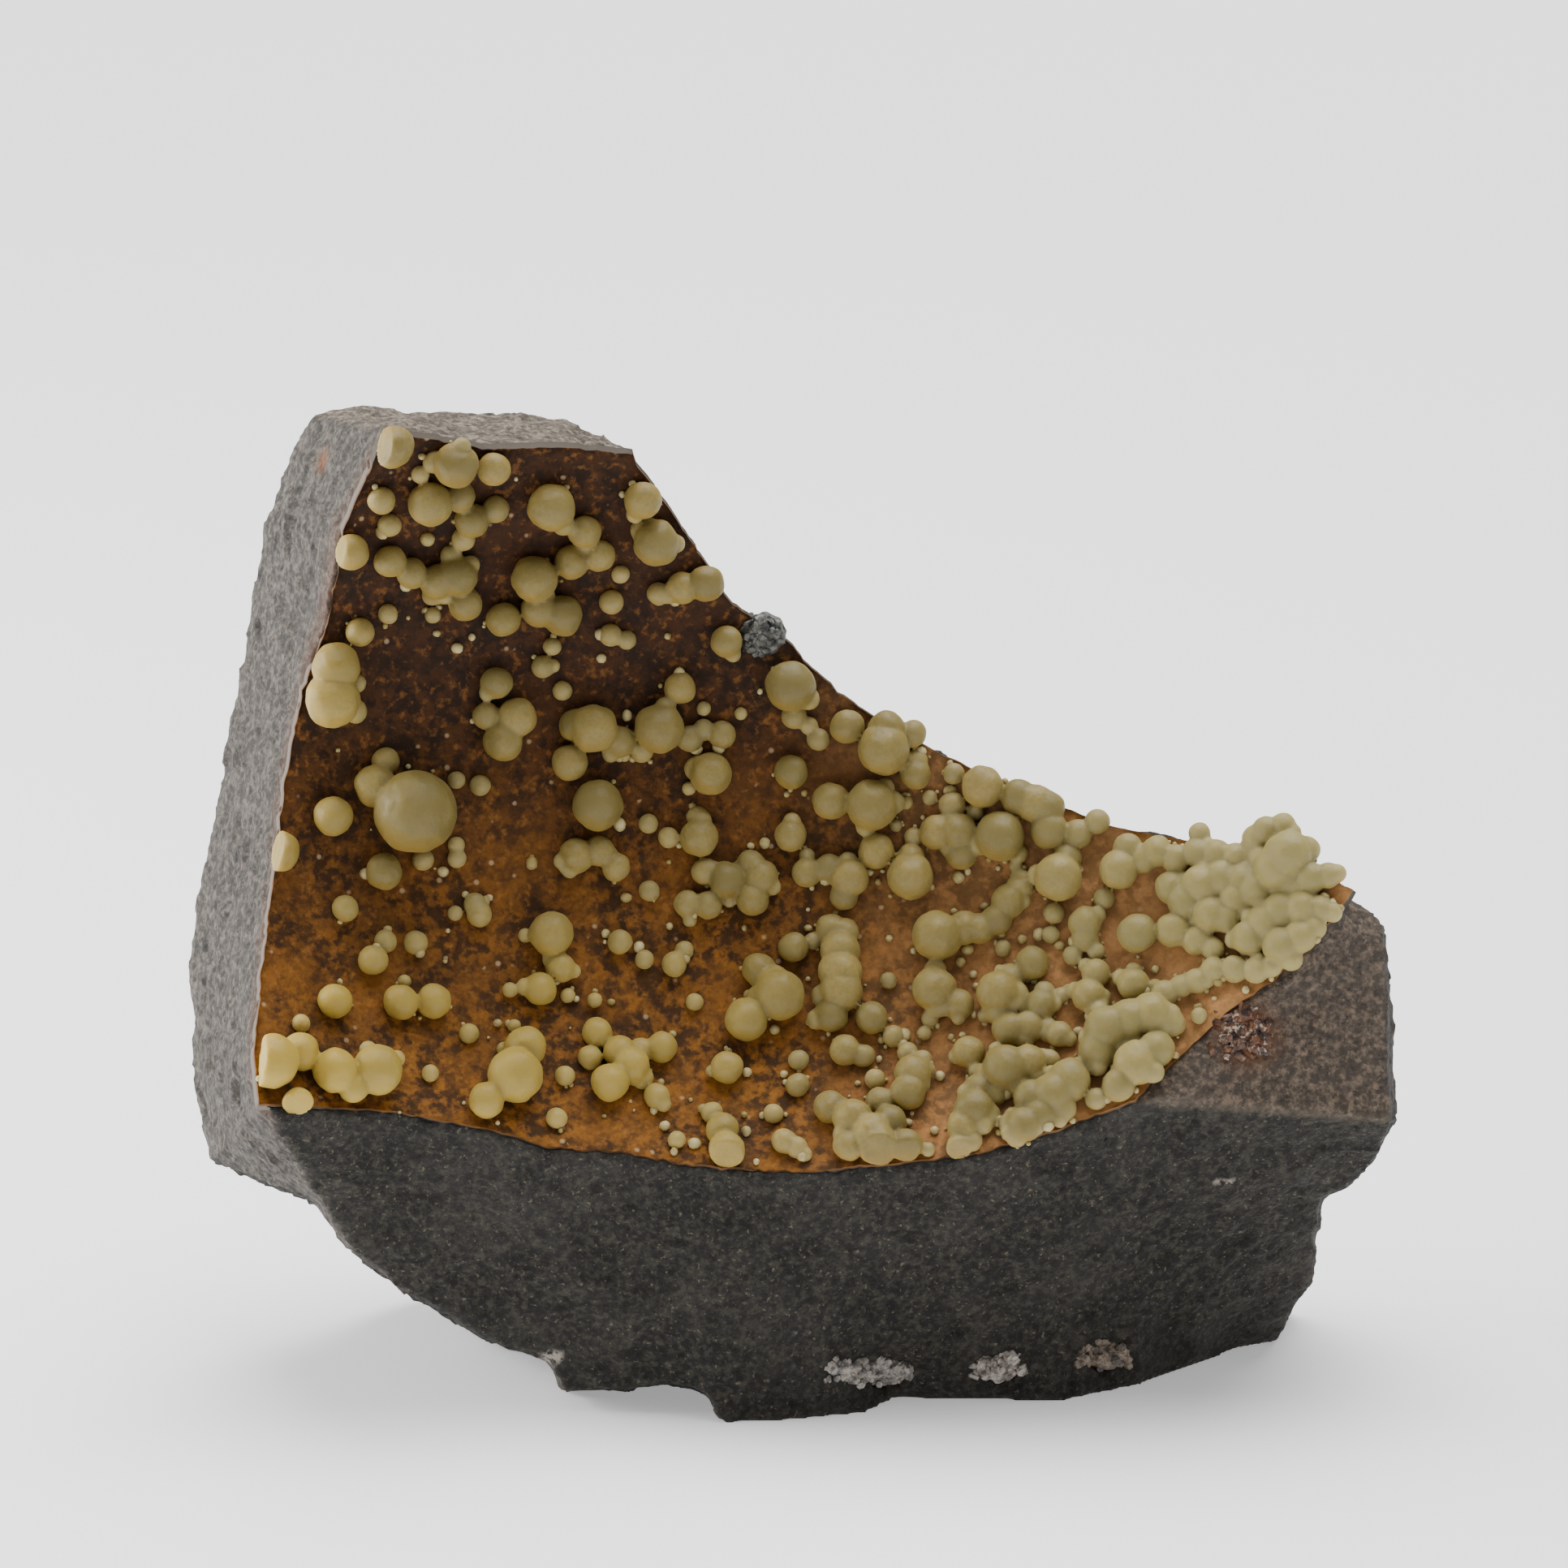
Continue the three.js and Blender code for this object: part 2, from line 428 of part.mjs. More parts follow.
// The rock before the hollow is taken out of it: the outline cut by the broken faces and the flat base
function brokenLump() {
  const base = [new THREE.Vector3(0, 0, 0), new THREE.Vector3(1, 0, 0), new THREE.Vector3(0, 1, 0)];
  const lowerLeft = [onWall(-57.4, 34.7), atDepth(-62.9, 29.0, 20), atDepth(-51.7, 24.3, 0)];
  const cutters = [
    beyondPlane(base),
    beyondPlane(lowerLeft),
    brokenFace(frontFace, new THREE.Vector3(0, -120, 0), [-0.6, 1.4]),
    brokenFace(leftFace, new THREE.Vector3(-120, -30, 0), [-0.8, 1.6]),
    brokenFace(topFace, new THREE.Vector3(0, 0, 60), [-1, 1.6]),
    brokenFace(rightFace, new THREE.Vector3(10, -120, 30), [-0.5, 1.6]),
    brokenFace(bite, new THREE.Vector3(70, 0, 100), [-1.4, 1.2]),
    ...backFaces.map(backFace),
  ];
  return cutters.reduce((all, cutter) => all.subtract(cutter), outlineBody());
}

function ballBody([across, up, radius]) {
  let geometry = new THREE.DodecahedronGeometry(radius * 1.08);
  if (radius >= wideBall) geometry = new THREE.IcosahedronGeometry(radius * 1.04, 1);
  if (radius < smallBall) geometry = new THREE.IcosahedronGeometry(radius * 1.1);
  geometry.rotateX(across);
  geometry.rotateZ(up);
  const lift = Math.max(radius * 0.5, radius * 1.1 - ballRoot);
  geometry.translate(...onWall(across, up, lift));
  return solid(geometry);
}

// The crust: a thin shell along the hollow's wall, with every ball grown on it
function crustBody(lump) {
  const shell = hollowBody(crustThickness).subtract(hollowBody(0)).intersect(lump);
  const large = balls.filter(([, , radius]) => radius >= leastBall);
  const grown = large.map(ballBody).reduce((all, ball) => all.add(ball));
  return mainBody(shell.add(grown.intersect(lump)));
}

// A flattened lump of facets with its middle at "centre", smaller than its half sizes by "less"
function lens(centre, half, less) {
  const geometry = new THREE.IcosahedronGeometry(1, 1);
  geometry.scale(half[0] - less, half[1] - less, half[2] - less);
  geometry.translate(...centre);
  return solid(geometry);
}

// One patch, a flat bed with a ring of grains on it, with free space of "room" round it
function patchBody({ half }, centre, room) {
  let body = lens(centre, half, fitGap - room);
  for (let i = 0; i < grainCount; i += 1) {
    const turn = (i / grainCount) * 2 * Math.PI;
    const out = i % 2 ? 0.5 : 0.3;
    const grain = new THREE.OctahedronGeometry(grainRadius + room * Math.sqrt(3));
    grain.rotateX(i * 1.7);
    grain.rotateY(i * 2.3);
    grain.translate(
      centre.x + Math.cos(turn) * half[0] * out,
      centre.y - half[1] * (1.05 - 0.4 * out),
      centre.z + Math.sin(turn) * half[2] * out,
    );
    body = body.add(solid(grain));
  }
  return body;
}

// The middle of a patch: the place seen on the rock, moved inward until the patch stands out as it should
function patchCentre({ at, half, proud }, rockMesh) {
  const caster = new THREE.Raycaster(eye, sightLine(...at).normalize());
  const [{ point }] = caster.intersectObject(rockMesh);
  return point.add(new THREE.Vector3(0, half[1] - proud, 0));
}

function piece(name, body, colour, roughnessValue) {
  const material = new THREE.MeshStandardMaterial({ color: colour, roughness: roughnessValue, metalness: 0 });
  const mesh = new THREE.Mesh(shape(body), material);
  mesh.name = name;
  return mesh;
}

const lump = brokenLump();
let rock = mainBody(lump.subtract(hollowBody(crustThickness + fitGap)));
const bareRock = piece('bare_rock', rock, rockColour, 0.9);
const placed = patches.map((patch) => ({ ...patch, centre: patchCentre(patch, bareRock) }));
for (const patch of placed) rock = rock.subtract(patchBody(patch, patch.centre, fitGap));

const specimen = new THREE.Group();
specimen.add(piece('basalt_matrix', rock, rockColour, 0.9));
specimen.add(piece('calcite_crust', crustBody(lump), calciteColour, 0.45));
for (const patch of placed) {
  specimen.add(piece(patch.name, patchBody(patch, patch.centre, 0), patch.colour, 0.6));
}

const footprint = new THREE.Box3().setFromObject(specimen).getCenter(new THREE.Vector3());
specimen.position.set(-footprint.x, -footprint.y, 0);

export default specimen;
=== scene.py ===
# Calcite balls on the wall of a hollow in a lump of basalt.
# Lengths are millimetres in the sighting frame until toModel() turns them into the model's metres.
import itertools
import math
import bmesh
import bpy
import numpy as np
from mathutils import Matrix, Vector
from mathutils.bvhtree import BVHTree
from mathutils.geometry import delaunay_2d_cdt
from mathutils.kdtree import KDTree


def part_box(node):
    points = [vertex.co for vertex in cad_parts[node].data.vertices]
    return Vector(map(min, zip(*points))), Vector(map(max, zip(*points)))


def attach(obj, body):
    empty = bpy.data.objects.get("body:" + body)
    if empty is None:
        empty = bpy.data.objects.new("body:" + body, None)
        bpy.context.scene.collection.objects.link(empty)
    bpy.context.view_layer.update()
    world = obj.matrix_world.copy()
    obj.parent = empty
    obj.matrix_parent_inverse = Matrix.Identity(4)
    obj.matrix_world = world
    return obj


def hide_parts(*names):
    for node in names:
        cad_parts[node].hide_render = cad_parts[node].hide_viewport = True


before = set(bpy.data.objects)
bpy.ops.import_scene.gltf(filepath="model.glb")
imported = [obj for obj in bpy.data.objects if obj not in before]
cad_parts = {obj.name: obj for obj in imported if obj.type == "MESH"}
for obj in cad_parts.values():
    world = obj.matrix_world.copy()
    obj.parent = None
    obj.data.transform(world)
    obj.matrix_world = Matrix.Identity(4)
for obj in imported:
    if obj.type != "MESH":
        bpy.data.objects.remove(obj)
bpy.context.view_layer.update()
print("frame loaded")

sighting = {
    "elevation": 15.0,        # degrees above the horizon
    "distance": 900.0,        # from the eye to the aim point
    "aim": (-0.6, 15.0, 68.0),
    "aimUp": 69.3,            # height of the aim point on the sighting plane
    "frameWide": 169.77,      # width of the picture on the sighting plane
}
seat = np.array([-0.392, -21.693, 0.0])  # from the sighting frame to the model's own frame
hollow = {"centre": np.array([0.0, -35.0, 81.0]), "half": np.array([95.0, 60.0, 60.0])}

tilt = math.radians(sighting["elevation"])
aim = np.array(sighting["aim"])
sightUp = np.array([0.0, math.sin(tilt), math.cos(tilt)])
sightAlong = np.array([0.0, math.cos(tilt), -math.sin(tilt)])
eye = aim - sightAlong * sighting["distance"]


def toModel(points):
    return (np.asarray(points, float) + seat) / 1000.0


def toSighting(points):
    return np.asarray(points, float) * 1000.0 - seat


def sightLine(across, up):
    seen = aim + sightUp * (up - sighting["aimUp"])
    seen[0] = across
    return seen - eye


def onWall(across, up, lift=0.0):
    half = hollow["half"] - lift
    line = sightLine(across, up)
    scaledLine, start = line / half, (eye - hollow["centre"]) / half
    a, b, c = scaledLine @ scaledLine, start @ scaledLine, start @ start - 1
    return eye + line * ((-b + math.sqrt(max(b * b - a * c, 0.0))) / a)


def atDepth(across, up, depth):
    line = sightLine(across, up)
    return eye + line * ((depth - eye[1]) / line[1])


def seenAt(points):  # the places on the sighting plane
    line = np.asarray(points) - eye
    line = line * (sighting["distance"] / (line @ sightAlong))[..., None]
    return line[..., 0] + eye[0], line @ sightUp + sighting["aimUp"]


def wallNormals(points):  # unit vectors out of the wall, into the open hollow
    pull = (hollow["centre"] - points) / hollow["half"] ** 2
    return pull / np.linalg.norm(pull, axis=-1, keepdims=True)


def wallDepth(points):  # roughly how far points lie behind the wall
    return (np.linalg.norm((points - hollow["centre"]) / hollow["half"], axis=1) - 1) * hollow["half"][2]


# Noise in arrays

def scramble(cells, seed):
    ix, iy, iz = (cells[..., k].astype(np.int64).astype(np.uint32) for k in range(3))
    mix = ix * np.uint32(374761393) + iy * np.uint32(668265263) + iz * np.uint32(2246822519)
    mix = mix + np.uint32((seed * 3266489917) % 4294967296)
    mix = (mix ^ (mix >> np.uint32(15))) * np.uint32(2246822519)
    mix = (mix ^ (mix >> np.uint32(13))) * np.uint32(3266489917)
    return mix ^ (mix >> np.uint32(16))


def scrambledVectors(cells, seed):
    parts = [scramble(cells, seed + 17 * k).astype(np.float64) / 4294967295.0 * 2 - 1 for k in range(3)]
    return np.stack(parts, axis=-1)


def softNoise(points, size, seed):  # smooth, about -1 to 1
    scaled = points / size
    base = np.floor(scaled)
    part = scaled - base
    fade = part ** 3 * (part * (part * 6 - 15) + 10)
    total = np.zeros(len(points))
    for corner in range(8):
        offset = np.array([corner & 1, (corner >> 1) & 1, (corner >> 2) & 1], float)
        pull = scrambledVectors(base + offset, seed)
        share = np.prod(np.where(offset > 0, fade, 1 - fade), axis=1)
        total += share * np.einsum("ij,ij->i", pull, part - offset)
    return total * 1.6


def layeredNoise(points, size, layers, seed):
    total, weight = np.zeros(len(points)), 1.0
    for layer in range(layers):
        total += weight * softNoise(points, size / 2 ** layer, seed + layer * 31)
        weight *= 0.5
    return total


def chipNoise(points, size, seed):  # flat tilted facets with small steps between them
    scaled = points / size
    base = np.floor(scaled)
    best, lean = np.full(len(points), np.inf), np.zeros(len(points))
    for neighbour in itertools.product((-1.0, 0.0, 1.0), repeat=3):
        cell = base + np.array(neighbour)
        away = scaled - (cell + 0.5 + 0.42 * scrambledVectors(cell, seed))
        reach = np.einsum("ij,ij->i", away, away)
        nearer = reach < best
        best[nearer] = reach[nearer]
        lean[nearer] = np.einsum("ij,ij->i", away[nearer], scrambledVectors(cell[nearer], seed + 5))
    return lean


def softStep(low, high, value):
    share = np.clip((value - low) / (high - low), 0, 1)
    return share * share * (3 - 2 * share)


# Mesh helpers

def addObject(name, data):
    added = bpy.data.objects.new(name, data)
    bpy.context.scene.collection.objects.link(added)
    return added


def treeOf(mesh):
    return BVHTree.FromPolygons([v.co for v in mesh.vertices], [p.vertices for p in mesh.polygons])


def makePiece(name, points, faces, smooth=True):
    mesh = bpy.data.meshes.new(name)
    mesh.from_pydata(toModel(points).tolist(), [], [tuple(int(i) for i in f) for f in faces])
    mesh.validate()
    mesh.update()
    piece = addObject(name, mesh)
    mesh.polygons.foreach_set("use_smooth", [smooth] * len(mesh.polygons))
    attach(piece, "root")
    return piece


def readPoints(mesh):
    flat = np.zeros(len(mesh.vertices) * 3)
    mesh.vertices.foreach_get("co", flat)
    return toSighting(flat.reshape(-1, 3))


def readNormals(mesh):
    flat = np.zeros(len(mesh.vertices) * 3)
    mesh.vertex_normals.foreach_get("vector", flat)
    return flat.reshape(-1, 3)


def writePoints(mesh, points):
    mesh.vertices.foreach_set("co", toModel(points).ravel())
    mesh.update()


def paint(mesh, name, values):  # a number for each point, read by the materials
    layer = mesh.attributes.new(name, "FLOAT", "POINT")
    layer.data.foreach_set("value", np.asarray(values, np.float32))


def edgeArray(mesh):
    flat = np.zeros(len(mesh.edges) * 2, np.int64)
    mesh.edges.foreach_get("vertices", flat)
    return flat.reshape(-1, 2)


def spread(values, edges, rounds):  # evens values out along the mesh
    values = np.array(values, float)
    count = np.bincount(edges.ravel(), minlength=len(values)).astype(float)
    for _ in range(rounds):
        if values.ndim == 1:
            total = np.bincount(edges[:, 0], values[edges[:, 1]], len(values))
            total += np.bincount(edges[:, 1], values[edges[:, 0]], len(values))
            values = 0.5 * values + 0.5 * total / np.maximum(count, 1)
        else:
            values = np.stack([spread(values[:, k], edges, 1) for k in range(values.shape[1])], axis=1)
    return values


def cadTree(name):
    return treeOf(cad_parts[name].data)


# The rock

rockSettings = {
    "cell": 0.66,           # size of a mesh cell
    "waveSize": 9.0,
    "waveDepth": 0.4,
    "chipSize": 4.2,
    "chipDepth": 0.42,
    "fineChipSize": 0.45,   # of the finer chips, as a share of chipSize
    "fineChipDepth": 0.6,
    "grainSize": 1.5,
    "grainDepth": 0.2,
    "crustRoom": 1.3,       # how far the solid's wall lies behind the face of the crust
    "wallDepth": 0.35,      # how far the rock's own wall lies behind it
    "eased": 3.0,           # depth at which that difference has died out
    "wallBand": 0.45,       # how far behind the solid's wall a point still belongs to it
    "wallFacing": 0.75,     # how well such a point's facing agrees with the wall's
    "flatFoot": 0.5,        # height up to which the rock stays flat for its base
}
rockMarks = {
    "leftBack": 40,         # the left face ends at this depth
    "topFrom": 96,          # the top begins at this height
    "ridge": [[37.3, 65.3], [35.1, 32.9]],  # between right facet and broken front: across, up
    "ridgeSoft": 0.25,
    "ridgeWorn": 0.4,       # half the width of its pale edge
    "rightBack": 25,
    "frontTop": 40,
    "chips": [  # pale chipped places: across, up, stretch, how far they reach, depth, strength
        {"at": (-25.7, 7.3), "stretch": (1.0, 1.5), "reach": (1.5, 0.7), "back": 14, "share": 1.0},
        {"at": (47.2, 26.2), "stretch": (0.6, 2.5), "reach": (1.0, 0.5), "back": 12, "share": 0.7},
    ],
    "rust": [
        {"at": atDepth(-49.9, 104.1, 28), "reach": (2.2, 0.6), "share": 1.0},
        {"at": np.array([49.0, 3.5, 43.0]), "reach": (5.5, 2.0), "share": 0.5},
    ],
}


def makeRock():
    rock = addObject("basaltMatrix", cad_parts["basalt_matrix"].data.copy())
    remesh = rock.modifiers.new("cells", "REMESH")
    remesh.mode = "VOXEL"
    remesh.voxel_size = rockSettings["cell"] / 1000
    shaped = bpy.data.meshes.new_from_object(rock.evaluated_get(bpy.context.evaluated_depsgraph_get()))
    rock.modifiers.clear()
    rock.data = shaped
    shaped.materials.clear()
    points, normals, edges = readPoints(shaped), readNormals(shaped), edgeArray(shaped)

    tree = cadTree("basalt_matrix")
    facing = np.array([tree.find_nearest(Vector(p))[1] for p in toModel(points)])
    depth, inward = wallDepth(points), wallNormals(points)
    room, least, eased = (rockSettings[k] for k in ("crustRoom", "wallDepth", "eased"))
    wanted = least + np.clip(depth - room, 0, None) * (eased - least) / (eased - room)
    moved = np.where(depth < eased, depth - wanted, 0)
    onWallSide = np.einsum("ij,ij->i", facing, inward) > rockSettings["wallFacing"]
    onHollow = (depth < room + rockSettings["wallBand"]) & onWallSide
    still = onHollow | (points[:, 2] < rockSettings["flatFoot"])
    free = np.clip((1 - spread(still.astype(float), edges, 3)) * 1.3 - 0.3, 0, 1)

    rough = rockSettings["waveDepth"] * softNoise(points, rockSettings["waveSize"], 3)
    fine = rockSettings["fineChipSize"], rockSettings["fineChipDepth"], 12
    for size, share, seed in ((1.0, 1.0, 11), fine):
        rough += share * rockSettings["chipDepth"] * chipNoise(points, rockSettings["chipSize"] * size, seed)
    rough += rockSettings["grainDepth"] * layeredNoise(points, rockSettings["grainSize"], 2, 21)
    points = points + normals * (rough * free)[:, None] + inward * moved[:, None]
    points[:, 2] = np.maximum(points[:, 2], 0)
    writePoints(shaped, points)
    paintRock(shaped, points, facing, depth, edges)
    shaped.polygons.foreach_set("use_smooth", [True] * len(shaped.polygons))
    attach(rock, "root")
    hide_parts("basalt_matrix")
    print("rock:", len(shaped.vertices), "points")
    return rock


def paintRock(mesh, points, facing, depth, edges):  # marks the broken faces, whose colours are partly the stone's own and partly painted light and shade, and the stains
    back, height = points[:, 1], points[:, 2]
    across, up = seenAt(points)
    aboveRidge = up - np.interp(across, *rockMarks["ridge"])
    soft, start = rockMarks["ridgeSoft"], rockMarks["ridge"][0][0]
    forward = (facing[:, 1] < -0.2) & (back < rockMarks["rightBack"])
    # these masks give the left face and the top their lighter colours and the front its darker one, partly
    # the stone's own weathered and fresh colour and partly painted light and shade
    left = softStep(0.5, 0.75, -facing[:, 0]) * (back < rockMarks["leftBack"])
    top = softStep(0.7, 0.9, facing[:, 2]) * (height > rockMarks["topFrom"])
    right = softStep(-soft, soft, aboveRidge) * (across > start - 0.3) * forward
    front = softStep(0.02, 0.3, -facing[:, 1]) * (1 - left) * (1 - right) * (up < rockMarks["frontTop"])
    for name, mask in (("leftFace", left), ("topFace", top), ("rightFace", right), ("frontFace", front)):
        paint(mesh, name, np.clip(spread(mask.astype(float), edges, 1), 0, 1))
    worn = (across > start - 0.8) & (np.abs(aboveRidge) < rockMarks["ridgeWorn"]) & forward
    paint(mesh, "worn", spread(worn.astype(float), edges, 1))
    paint(mesh, "stained", softStep(4.0, 0.6, depth) * left)
    chip, rust = np.zeros(len(points)), np.zeros(len(points))
    for mark in rockMarks["chips"]:
        away = [(seen - at) * stretch for seen, at, stretch in zip((across, up), mark["at"], mark["stretch"])]
        chip += softStep(*mark["reach"], np.hypot(*away)) * (back < mark["back"]) * mark["share"]
    for mark in rockMarks["rust"]:
        rust += softStep(*mark["reach"], np.linalg.norm(points - mark["at"], axis=1)) * mark["share"]
    paint(mesh, "chip", np.clip(chip, 0, 1))
    paint(mesh, "rust", np.clip(rust, 0, 1))


# The stained lining of the hollow

# Rim of the hollow, clockwise as seen from the front: [across, up]
rim = {
    "left": [[-57.4, 34.7], [-58.0, 40.3], [-56.9, 50.4], [-55.9, 58.7], [-54.7, 68.8], [-52.7, 79.2],
             [-49.8, 87.2], [-48.2, 96.8], [-44.9, 104.6], [-43.9, 107.2]],
    "top": [[-38.6, 106.6], [-33.2, 105.5], [-24.0, 105.7], [-17.0, 104.9]],
    "bite": [[-16.4, 103.6], [-13.2, 99.2], [-10.2, 94.8], [-6.2, 88.6], [-0.9, 85.4], [2.4, 81.7],
             [7.4, 77.6], [15.0, 73.2], [24.8, 68.6], [35.0, 64.7], [47.5, 62.4], [55.5, 61.0], [60.9, 57.8]],
    "right": [[57.0, 52.5], [52.2, 47.8], [47.0, 44.5], [41.5, 39.0], [37.3, 35.1]],
    "lower": [[29.0, 31.9], [20.0, 29.3], [12.0, 28.3], [7.0, 27.9], [0.3, 27.4], [-6.0, 27.8], [-8.5, 28.0],
              [-12.5, 28.4], [-18.5, 29.6], [-26.0, 30.0], [-32.8, 32.1], [-43.3, 34.0]],
}
liningSettings = {
    "step": 0.62,           # spacing of its points
    "deep": 1.1,            # how far its edge reaches into the rock
    "ragged": 0.22,         # how far its rim strays
    "proud": 0.45,          # how far it may lie off the solid crust
    "waveSize": 7.0,
    "waveDepth": 0.14,
    "grainSize": 1.3,
    "grainDepth": 0.1,
    "leftRim": [[33, 106], [-50, -41]],  # left of this line the rim is at the left face: up, across
    "topRim": 104,          # above this height it is at the top
}


def rimPoints(step):
    corners = np.array([p for part in rim.values() for p in part])
    line = []
    for a, b in zip(corners, np.roll(corners, -1, axis=0)):
        count = max(1, round(np.linalg.norm(b - a) / step))
        line += [a + (b - a) * k / count for k in range(count)]
    line = np.array(line)
    place = np.column_stack([line, np.zeros(len(line))])
    stray = [softNoise(place, 1.6, seed) + 0.5 * softNoise(place, 0.7, seed + 1) for seed in (51, 53)]
    return line + liningSettings["ragged"] * np.column_stack(stray)


def insideRim(points, border):
    inside = np.zeros(len(points), bool)
    for (ax, ay), (bx, by) in zip(border, np.roll(border, -1, axis=0)):
        spans = (ay > points[:, 1]) != (by > points[:, 1])
        with np.errstate(divide="ignore", invalid="ignore"):
            inside ^= spans & (points[:, 0] < (bx - ax) * (points[:, 1] - ay) / (by - ay) + ax)
    return inside


def liningBorder():  # the rim, no further out than the solid's own
    border = rimPoints(liningSettings["step"])
    solidCrust = cadTree("calcite_crust")
    for k, (across, up) in enumerate(border):
        near, _, _, gap = solidCrust.find_nearest(Vector(toModel(onWall(across, up))))
        if gap > liningSettings["proud"] / 1000:
            border[k] = np.array(seenAt(toSighting(np.array(near))))
    return border


def liningGrid(border, step):  # rows of points inside the rim, clear of it
    low, high = border.min(0), border.max(0)
    grid = np.stack(np.meshgrid(np.arange(low[0], high[0], step), np.arange(low[1], high[1], step)), -1)
    grid[1::2, :, 0] += step / 2
    grid = grid.reshape(-1, 2)
    grid = grid[insideRim(grid, border)]
    tree = KDTree(len(border))
    for k, place in enumerate(border):
        tree.insert((*place, 0), k)
    tree.balance()
    return np.array([p for p in grid if tree.find((*p, 0))[2] > step * 0.6])


def makeLining():
    border = liningBorder()
    flat = np.concatenate([border, liningGrid(border, liningSettings["step"])])
    count, total = len(border), len(flat)
    ring = [(k, (k + 1) % count) for k in range(count)]
    made = delaunay_2d_cdt([Vector(p) for p in flat], ring, [], 1, 1e-4, False)
    if len(made[0]) != total:
        print("lining: the rim crosses itself")
    triangles = np.array(made[2])
    triangles = triangles[insideRim(flat[triangles].mean(1), border)]
    corners = flat[triangles]
    turn = np.cross(corners[:, 1] - corners[:, 0], corners[:, 2] - corners[:, 0])
    triangles[turn < 0] = triangles[turn < 0][:, ::-1]
    front = np.array([onWall(*place) for place in flat])
    inward = wallNormals(front)
    rough = liningSettings["waveDepth"] * softNoise(front, liningSettings["waveSize"], 41)
    rough += liningSettings["grainDepth"] * layeredNoise(front, liningSettings["grainSize"], 2, 42)
    front = front + inward * rough[:, None]
    skirt = front[:count] - inward[:count] * liningSettings["deep"]
    sides = [(b, total + b, total + a, a) for a, b in ring]
    ahead = np.roll(border, -1, axis=0)
    if np.sum(border[:, 0] * ahead[:, 1] - ahead[:, 0] * border[:, 1]) < 0:  # clockwise
        sides = [side[::-1] for side in sides]
    faces = [tuple(t) for t in triangles] + sides
    lining = makePiece("hollowLining", np.concatenate([front, skirt]), faces)
    face, atLeft, atTop = (np.zeros(total + count) for _ in range(3))
    face[:total] = 1
    for first in (0, total):
        atLeft[first:first + count] = border[:, 0] < np.interp(border[:, 1], *liningSettings["leftRim"])
        atTop[first:first + count] = border[:, 1] > liningSettings["topRim"]
    for name, values in (("face", face), ("leftFace", atLeft), ("topFace", atTop)):
        paint(lining.data, name, values)
    print("lining:", len(lining.data.vertices), "points")
    return lining


